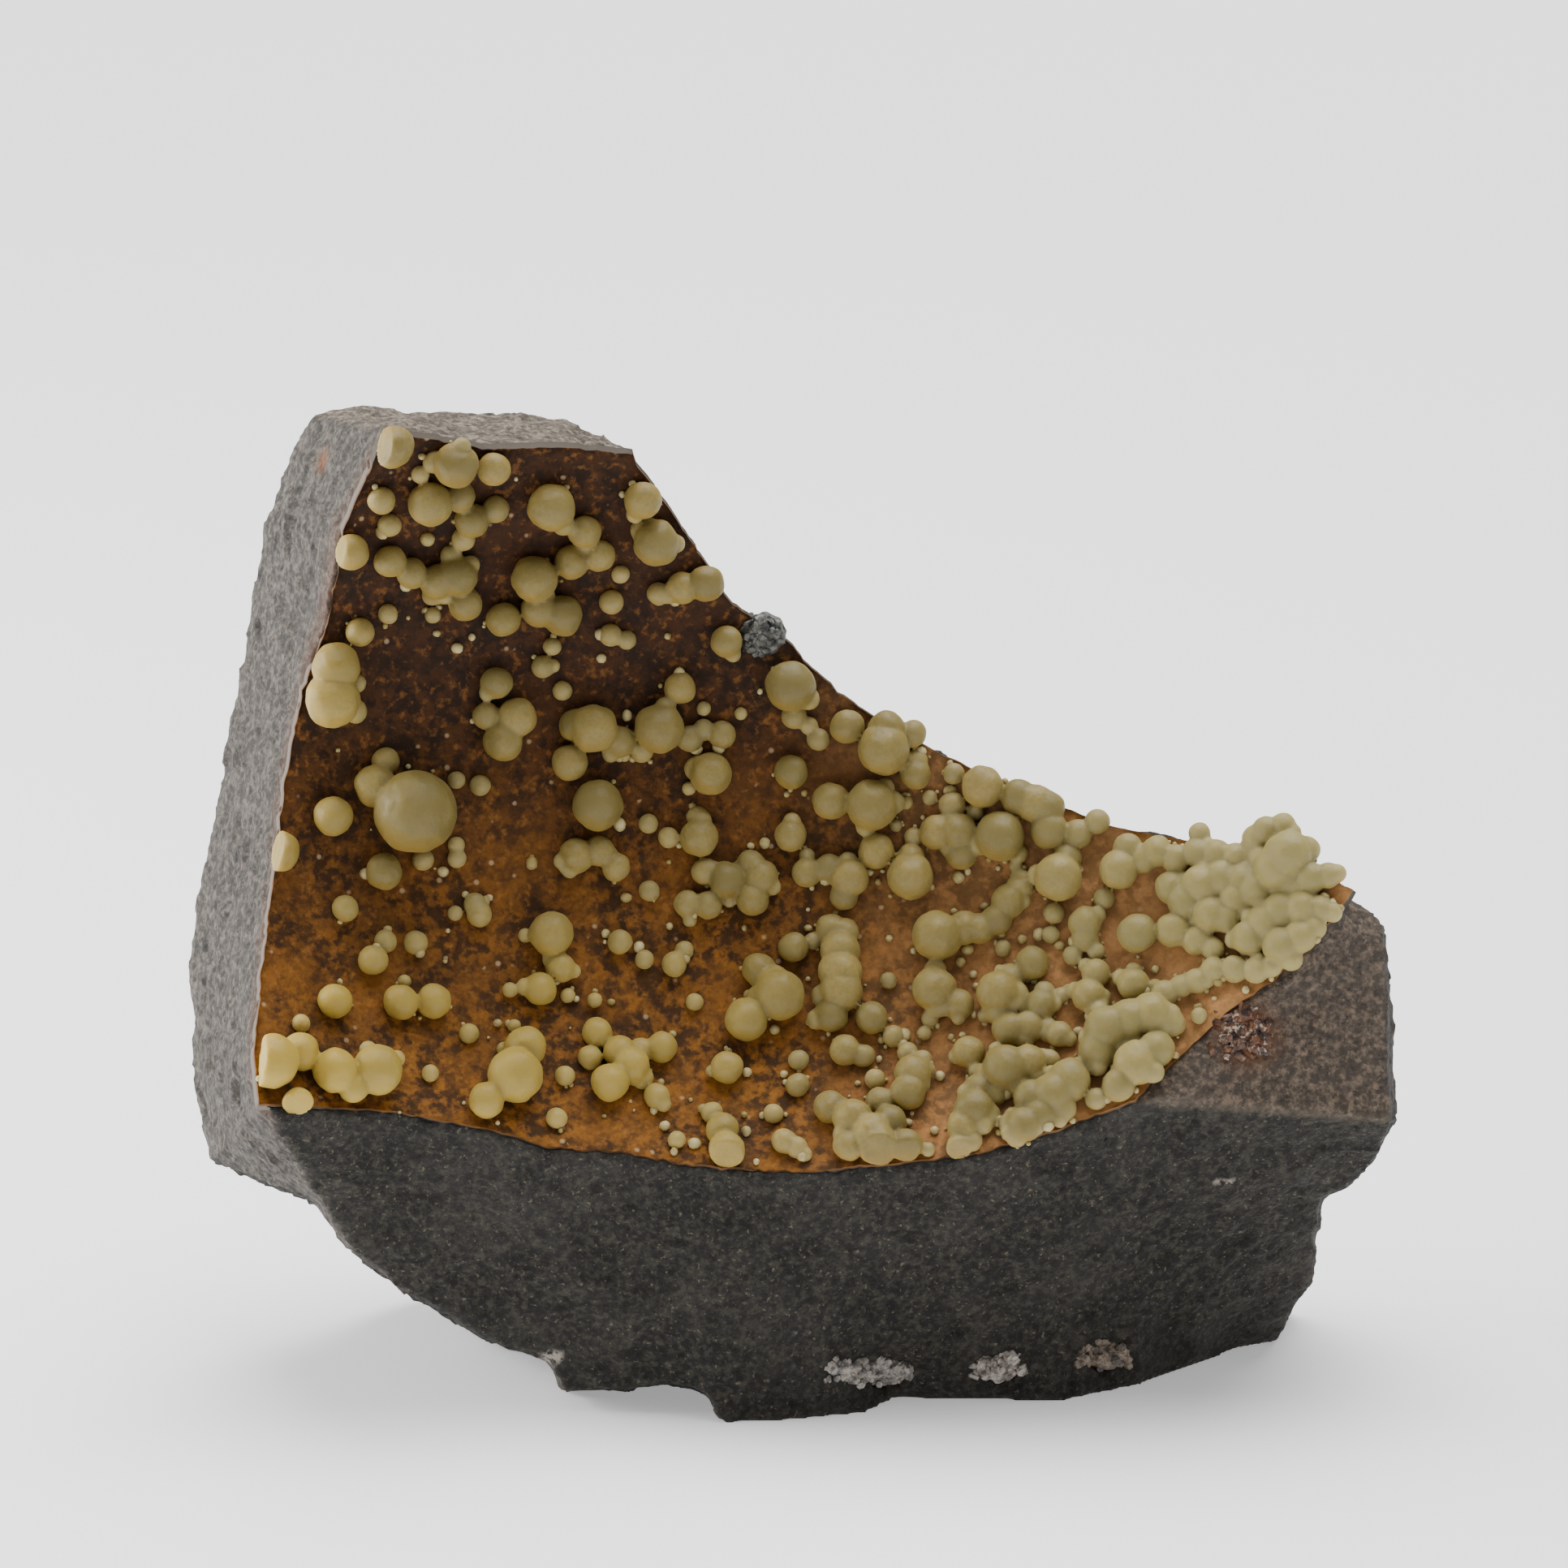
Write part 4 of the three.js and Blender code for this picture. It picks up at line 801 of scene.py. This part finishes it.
patchSettings = {
    "zeolitePatchLeft": {"node": "zeolite_patch_left", "slot": "zeolite", "count": 170,
                         "wide": [4.6, 1.3], "shift": [-1.8, -0.1]},
    "zeolitePatchMiddle": {"node": "zeolite_patch_middle", "slot": "zeolite", "count": 130,
                           "wide": [2.7, 1.5], "shift": [0.0, 0.0]},
    "zeolitePatchRight": {"node": "zeolite_patch_right", "slot": "zeolite", "count": 120,
                          "wide": [2.7, 1.5], "shift": [0.0, 0.1]},
    "rustyCrystals": {"node": "rusty_crystal_patch", "slot": "rusty_crystal", "count": 150,
                      "wide": [3.2, 3.0], "shift": [0.0, 0.0]},
}
druse = {"place": [-2.9, 85.5], "half": [2.6, 1.7, 2.4], "slot": "basalt", "count": 90,
         "wide": [2.4, 2.0], "shift": [0.0, 0.0]}
crystalSettings = {
    "size": (0.22, 0.55),
    "long": (0.8, 1.6),     # half its length, as a share of its size
    "tips": (1.25, 1.3),    # how far its two points reach, as a share of that
    "crowding": 0.45,       # how close to the middle of a patch the crystals keep
    "bed": [0.97, 0.8, 0.97],  # size of the lump under the crystals, as a share of the solid's
    "bedRough": 0.12,
    "bedBack": 0.35,        # how far behind the solid's middle it lies
    "sunk": 0.1,
}


def crystalForm(dice):  # a six-sided prism with blunt points
    size = dice.uniform(*crystalSettings["size"])
    long = size * dice.uniform(*crystalSettings["long"])
    back, front = (long * tip for tip in crystalSettings["tips"])
    ring = [[size * math.cos(a), size * math.sin(a)] for a in np.arange(6) * math.pi / 3]
    points = [[0, 0, -back]] + [[x, y, -long] for x, y in ring] + [[x, y, long] for x, y in ring]
    points.append([0, 0, front])
    faces = []
    for k in range(6):
        n = (k + 1) % 6
        faces += [[0, 1 + n, 1 + k], [1 + k, 1 + n, 7 + n, 7 + k], [7 + k, 7 + n, 13]]
    turn, _ = np.linalg.qr(dice.normal(size=(3, 3)))
    if np.linalg.det(turn) < 0:
        turn[:, 0] *= -1
    return np.array(points) @ turn.T, faces


def crystalPile(name, middle, half, settings, rockTree, seed):
    dice = np.random.default_rng(seed)
    unit, corners = roundMesh(4)
    rough = 1 + crystalSettings["bedRough"] * softNoise(unit * 3, 1.0, seed)
    bed = unit * half * np.array(crystalSettings["bed"]) * rough[:, None] + middle
    bed[:, 1] += crystalSettings["bedBack"]
    points, faces = [bed], corners.tolist()
    bedTree = BVHTree.FromPolygons(toModel(bed).tolist(), corners.tolist())
    count = len(bed)
    origin = Vector(toModel(eye))
    for _ in range(settings["count"]):
        spot = np.clip(dice.normal(size=2) * crystalSettings["crowding"], -1, 1)
        across, up = spot * settings["wide"] + np.array(settings["shift"])
        aimAt = Vector(toModel(middle + np.array([across, 0, up])))
        hits = [t.ray_cast(origin, (aimAt - origin).normalized()) for t in (rockTree, bedTree)]
        hits = [h for h in hits if h[0] is not None]
        if not hits:
            continue
        place = toSighting(np.array(min(hits, key=lambda h: h[3])[0]))
        form, sides = crystalForm(dice)
        points.append(form + place + np.array([0, crystalSettings["sunk"], 0]))
        faces += [[i + count for i in side] for side in sides]
        count += len(form)
    piece = makePiece(name, np.concatenate(points), faces, smooth=False)
    print(name + ":", len(piece.data.vertices), "points")
    return piece


def makePatches(rockTree):
    made = {}
    for k, (name, settings) in enumerate(patchSettings.items()):
        low, high = (toSighting(np.array(c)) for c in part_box(settings["node"]))
        made[name] = crystalPile(name, (low + high) / 2, (high - low) / 2, settings, rockTree, 80 + k)
        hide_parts(settings["node"])
    made["greyDruse"] = crystalPile("greyDruse", onWall(*druse["place"]), np.array(druse["half"]), druse,
                                    rockTree, 97)
    return made


rock = makeRock()
lining = makeLining()
balls = makeBalls()
buds = makeBuds()
patches = makePatches(treeOf(rock.data))


# Materials

def feed(tree, value, socket):  # a number, a colour or another socket
    if isinstance(value, tuple):
        socket.default_value = (*value, 1)
    elif isinstance(value, (int, float)):
        socket.default_value = value
    else:
        tree.links.new(value, socket)


def compute(tree, operation, first, second):
    node = tree.nodes.new("ShaderNodeMath")
    node.operation = operation
    feed(tree, first, node.inputs[0])
    feed(tree, second, node.inputs[1])
    return node.outputs[0]


def newGroup(name, output, **inputs):  # all its sockets hold one number each
    group = bpy.data.node_groups.new(name, "ShaderNodeTree")
    for title, value in inputs.items():
        socket = group.interface.new_socket(name=title, in_out="INPUT", socket_type="NodeSocketFloat")
        socket.default_value = value
    group.interface.new_socket(name=output, in_out="OUTPUT", socket_type="NodeSocketFloat")
    return group, group.nodes.new("NodeGroupInput").outputs, group.nodes.new("NodeGroupOutput").inputs[output]


def inMillimetres(tree):  # places on the object, counted in mm
    spot = tree.nodes.new("ShaderNodeTexCoord")
    grow = tree.nodes.new("ShaderNodeVectorMath")
    grow.operation = "SCALE"
    grow.inputs["Scale"].default_value = 1000
    feed(tree, spot.outputs["Object"], grow.inputs[0])
    return grow.outputs[0]


def ramp(tree, value, low, high):
    easing = tree.nodes.new("ShaderNodeMapRange")
    easing.interpolation_type = "SMOOTHSTEP"
    for title, given in (("Value", value), ("From Min", low), ("From Max", high)):
        feed(tree, given, easing.inputs[title])
    return easing.outputs["Result"]


def texture(tree, kind, size):
    node = tree.nodes.new(kind)
    feed(tree, inMillimetres(tree), node.inputs["Vector"])
    feed(tree, compute(tree, "DIVIDE", 1, size), node.inputs["Scale"])
    return node


def makeMottle():  # soft blotches, 0 to 1
    group, given, mask = newGroup("mottle", "Mask", Size=2.0, Low=0.4, High=0.6, Seed=0.0)
    noise = texture(group, "ShaderNodeTexNoise", given["Size"])
    noise.noise_dimensions = "4D"
    noise.inputs["Detail"].default_value = 5
    noise.inputs["Roughness"].default_value = 0.62
    feed(group, given["Seed"], noise.inputs["W"])
    feed(group, ramp(group, noise.outputs[0], given["Low"], given["High"]), mask)
    return group


def makeFlecks():  # scattered small grains, 0 to 1
    group, given, mask = newGroup("flecks", "Mask", Size=0.6, Amount=0.3)
    grains = texture(group, "ShaderNodeTexVoronoi", given["Size"])
    split = group.nodes.new("ShaderNodeSeparateColor")
    feed(group, grains.outputs["Color"], split.inputs["Color"])
    chosen = compute(group, "LESS_THAN", split.outputs["Red"], given["Amount"])
    core = ramp(group, grains.outputs["Distance"], 0.5, 0.2)
    feed(group, compute(group, "MULTIPLY", chosen, core), mask)
    return group


def makeGrain():  # a height for bumps
    group, given, height = newGroup("grain", "Height", Size=0.8, Pits=0.4)
    noise = texture(group, "ShaderNodeTexNoise", given["Size"])
    noise.inputs["Detail"].default_value = 4
    noise.inputs["Roughness"].default_value = 0.7
    cells = texture(group, "ShaderNodeTexVoronoi", given["Size"])
    pits = compute(group, "MULTIPLY", cells.outputs["Distance"], given["Pits"])
    feed(group, compute(group, "ADD", noise.outputs[0], pits), height)
    return group


mottle, flecks, grain = makeMottle(), makeFlecks(), makeGrain()


def newMaterial(name, roughness, specular):
    material = bpy.data.materials.new(name)
    material.use_nodes = True
    shader = material.node_tree.nodes["Principled BSDF"]
    shader.inputs["Roughness"].default_value = roughness
    shader.inputs["Specular IOR Level"].default_value = specular
    return material, material.node_tree, shader


def softInside(shader, weight, radius, scale):  # light that strays below the surface
    shader.inputs["Subsurface Weight"].default_value = weight
    shader.inputs["Subsurface Radius"].default_value = radius
    shader.inputs["Subsurface Scale"].default_value = scale


def useGroup(tree, group, **values):
    node = tree.nodes.new("ShaderNodeGroup")
    node.node_tree = group
    for title, value in values.items():
        node.inputs[title].default_value = value
    return node.outputs[0]


def blotches(tree, size, low, high, seed):
    return useGroup(tree, mottle, Size=size, Low=low, High=high, Seed=seed)


def painted(tree, name):
    node = tree.nodes.new("ShaderNodeAttribute")
    node.attribute_name = name
    return node.outputs["Fac"]


def blend(tree, mask, first, second, share=1.0):  # colours as tuples or sockets
    node = tree.nodes.new("ShaderNodeMix")
    node.data_type = "RGBA"
    feed(tree, compute(tree, "MULTIPLY", mask, share) if share < 1.0 else mask, node.inputs[0])
    feed(tree, first, node.inputs[6])
    feed(tree, second, node.inputs[7])
    return node.outputs[2]


def layered(tree, colour, layers):  # each layer is a mask, a colour and its strength
    for mask, shade, share in layers:
        colour = blend(tree, mask, colour, shade, share)
    return colour


def finish(piece, made, colour, grainSize, pits, depth, strength):  # depth of the bump in mm
    material, tree, shader = made
    bump = tree.nodes.new("ShaderNodeBump")
    bump.inputs["Distance"].default_value = depth / 1000
    bump.inputs["Strength"].default_value = strength
    feed(tree, useGroup(tree, grain, Size=grainSize, Pits=pits), bump.inputs["Height"])
    feed(tree, bump.outputs["Normal"], shader.inputs["Normal"])
    feed(tree, colour, shader.inputs["Base Color"])
    piece.data.materials.append(material)


def palette(**shades):  # colours as seen on screen, made linear
    return {name: tuple(((c / 255 + 0.055) / 1.055) ** 2.4 for c in shade) for name, shade in shades.items()}


# Colours of the broken faces: the left face and the top are lighter and the front darker, partly their own
# weathered and fresh stone and partly painted light and shade.
basaltColours = palette(
    front=(60, 57, 49), frontDark=(22, 21, 19), left=(112, 105, 96), leftDark=(58, 55, 51),
    top=(152, 140, 124), topDark=(82, 74, 66), right=(118, 102, 86), rightDark=(60, 52, 45),
    other=(72, 67, 61), otherDark=(42, 39, 36), light=(84, 80, 74), fleck=(138, 126, 106),
    rust=(120, 70, 36), pit=(17, 16, 15), chip=(170, 160, 148),
)


def dressRock():
    made = newMaterial("basaltStone", 0.8, 0.3)
    tree, shades = made[1], basaltColours
    fine = blotches(tree, 0.75, 0.4, 0.7, 1.0)
    colour = blend(tree, fine, shades["otherDark"], shades["other"])
    # each broken face gets its own colour, lighter on the left and top and darker in front: partly the
    # stone's own colour, partly painted light and shade
    for face in ("front", "left", "top", "right"):
        own = blend(tree, fine, shades[face + "Dark"], shades[face])
        colour = blend(tree, painted(tree, face + "Face"), colour, own)
    speckle = compute(tree, "MULTIPLY", blotches(tree, 0.9, 0.42, 0.52, 17.0), painted(tree, "chip"))
    colour = layered(tree, colour, [
        (blotches(tree, 11.0, 0.42, 0.7, 4.0), shades["light"], 0.2),
        (blotches(tree, 0.4, 0.52, 0.66, 7.0), shades["pit"], 0.45),
        (blotches(tree, 0.5, 0.58, 0.68, 15.0), shades["fleck"], 0.4),
        (useGroup(tree, flecks, Size=2.1, Amount=0.08), shades["pit"], 0.7),
        (painted(tree, "worn"), shades["fleck"], 0.16),
        (painted(tree, "stained"), shades["rust"], 0.3),
        (painted(tree, "rust"), shades["rust"], 0.7),
        (speckle, shades["chip"], 0.85),
    ])
    finish(rock, made, colour, 0.6, 0.5, 0.28, 1.0)


# top and bottom are painted shade and painted light: the lining is darker under the overhang and lighter
# lower down
liningColours = palette(
    top=(60, 34, 14), bottom=(142, 90, 26), pink=(196, 142, 92), dark=(28, 17, 8),
    pale=(186, 158, 120), edge=(104, 74, 48), light=(170, 112, 50), calm=(176, 130, 78),
)


def dressLining():
    made = newMaterial("stainedLining", 0.72, 0.18)
    tree, shades = made[1], liningColours
    split = tree.nodes.new("ShaderNodeSeparateXYZ")
    feed(tree, inMillimetres(tree), split.inputs[0])
    # painted shade: the lining is dark brown towards the top, in the shade of the overhang, and lighter
    # orange-brown towards the bottom, where light falls
    lower = ramp(tree, split.outputs["Z"], 84.0, 34.0)
    rightward = ramp(tree, split.outputs["X"], -4.0, 34.0)
    broad, spots = blotches(tree, 9.0, 0.37, 0.54, 2.0), blotches(tree, 1.6, 0.43, 0.56, 3.0)
    stain = compute(tree, "MULTIPLY", broad, spots)
    colour = layered(tree, shades["top"], [
        (lower, shades["bottom"], 1.0),
        (rightward, shades["pink"], 0.85),
        (blotches(tree, 5.0, 0.35, 0.7, 5.0), shades["top"], 0.45),
        (stain, shades["dark"], 0.8),
        (blotches(tree, 0.7, 0.4, 0.62, 6.0), shades["dark"], 0.4),
        (blotches(tree, 1.1, 0.52, 0.68, 12.0), shades["light"], 0.3),
        (useGroup(tree, flecks, Size=0.8, Amount=0.02), shades["pale"], 0.55),
        (rightward, shades["calm"], 0.45),
    ])
    face = painted(tree, "face")
    # the lining's side takes the rock's face colours, with the same painted light and shade
    side = blend(tree, painted(tree, "leftFace"), basaltColours["front"], basaltColours["left"])
    side = blend(tree, ramp(tree, face, 0.6, 0.8), side, shades["edge"])
    side = blend(tree, painted(tree, "topFace"), side, basaltColours["topDark"])
    colour = blend(tree, ramp(tree, face, 0.9, 0.97), side, colour)
    finish(lining, made, colour, 0.5, 0.3, 0.1, 0.8)


# gold is used only for painted light on the balls: near the wall and on their undersides
calciteColours = palette(
    cream=(146, 127, 70), olive=(110, 97, 50), gold=(158, 124, 48), honey=(172, 146, 62),
    frost=(186, 172, 122), pale=(156, 145, 92),
)


def dressBalls():
    made = newMaterial("waxyCalcite", 0.5, 0.35)
    softInside(made[2], 0.5, (1.0, 0.85, 0.35), 0.0022)
    tree, shades = made[1], calciteColours
    colour = layered(tree, shades["cream"], [
        (painted(tree, "tone"), shades["olive"], 1.0),
        (blotches(tree, 1.6, 0.35, 0.7, 8.0), shades["olive"], 0.4),
        (blotches(tree, 0.45, 0.4, 0.64, 10.0), shades["olive"], 0.35),
        # painted light: golden near the wall, for contact shade and light shining through the ball
        (ramp(tree, painted(tree, "crown"), 0.8, 0.1), shades["gold"], 0.35),
        # painted light: golden undersides, for light shining through the balls
        (painted(tree, "under"), shades["gold"], 0.4),
        (painted(tree, "golden"), shades["honey"], 0.6),
        (painted(tree, "frosty"), shades["pale"], 0.6),
        (painted(tree, "small"), shades["frost"], 0.3),
    ])
    finish(balls, made, colour, 0.6, 0.25, 0.1, 0.8)


def dressBuds():
    made = newMaterial("frostCalcite", 0.5, 0.5)
    softInside(made[2], 0.2, (1.0, 0.9, 0.6), 0.0008)
    cloud = blotches(made[1], 3.0, 0.4, 0.6, 9.0)
    colour = blend(made[1], cloud, calciteColours["cream"], calciteColours["frost"])
    finish(buds, made, colour, 0.25, 0.2, 0.02, 0.6)


crystalColours = palette(
    zeolitePatchLeft=(168, 160, 150), zeolitePatchLeftDark=(84, 80, 76),
    zeolitePatchMiddle=(176, 166, 156), zeolitePatchMiddleDark=(90, 84, 78),
    zeolitePatchRight=(138, 122, 106), zeolitePatchRightDark=(70, 62, 54),
    greyDruse=(96, 95, 88), greyDruseDark=(30, 31, 30),
    rustyCrystals=(104, 66, 40), rustyCrystalsDark=(38, 26, 20), rustyCrystalsWhite=(190, 176, 158),
)


def dressPatches():
    for k, (name, piece) in enumerate(patches.items()):
        made = newMaterial(name + "Crystal", 0.4, 0.5)
        cloud = blotches(made[1], 1.1, 0.4, 0.6, 20.0 + k)
        colour = blend(made[1], cloud, crystalColours[name + "Dark"], crystalColours[name])
        if name + "White" in crystalColours:
            white = blotches(made[1], 0.9, 0.56, 0.62, 31.0)
            colour = blend(made[1], white, colour, crystalColours[name + "White"], 0.7)
        finish(piece, made, colour, 0.2, 0.3, 0.03, 0.7)


dressRock()
dressLining()
dressBalls()
dressBuds()
dressPatches()
print("materials made")


# Floor, light and camera

studio = {
    "floor": (247, 247, 249),
    "floorHalf": 4.0,       # half its width, in metres
    "glow": 0.35,           # light that the pale floor gives back
    "room": 0.4,            # even light from all around
    "sky": {"from": (0.12, 0.2, 1.0), "strength": 5.0, "soft": 60},
    "softbox": {"place": (-560, 60, 240), "size": 300, "power": 5.0},
}


def towards(direction):  # the turn of a light or camera that looks that way
    return Vector(direction).to_track_quat("-Z", "Y").to_euler()


def makeFloor():
    far = studio["floorHalf"]
    mesh = bpy.data.meshes.new("paleFloor")
    mesh.from_pydata([(-far, -far, 0), (far, -far, 0), (far, far, 0), (-far, far, 0)], [], [(0, 1, 2, 3)])
    addObject("paleFloor", mesh)
    material, _, shader = newMaterial("paleFloor", 0.7, 0.3)
    shader.inputs["Base Color"].default_value = (*palette(floor=studio["floor"])["floor"], 1)
    shader.inputs["Emission Color"].default_value = (1, 1, 1, 1)
    shader.inputs["Emission Strength"].default_value = studio["glow"]
    mesh.materials.append(material)


def makeLight():
    world = bpy.data.worlds.new("studio")
    bpy.context.scene.world = world
    world.use_nodes = True
    world.node_tree.nodes["Background"].inputs["Color"].default_value = (1, 1, 1, 1)
    world.node_tree.nodes["Background"].inputs["Strength"].default_value = studio["room"]
    sky = bpy.data.lights.new("skyLight", "SUN")
    sky.energy = studio["sky"]["strength"]
    sky.angle = math.radians(studio["sky"]["soft"])
    addObject("skyLight", sky).rotation_euler = towards(-Vector(studio["sky"]["from"]))
    softbox = bpy.data.lights.new("leftSoftbox", "AREA")
    softbox.energy = studio["softbox"]["power"]
    softbox.size = studio["softbox"]["size"] / 1000
    placed = addObject("leftSoftbox", softbox)
    placed.location = Vector(studio["softbox"]["place"]) / 1000
    placed.rotation_euler = towards(Vector(toModel(aim)) - placed.location)


def makeCamera():
    lens = bpy.data.cameras.new("camera")
    lens.lens = lens.sensor_width * sighting["distance"] / sighting["frameWide"]
    lens.clip_start, lens.clip_end = 0.05, 20
    camera = addObject("camera", lens)
    camera.location = toModel(eye)
    camera.rotation_euler = towards(sightAlong)
    bpy.context.scene.camera = camera


makeFloor()
makeLight()
makeCamera()
print("studio made")
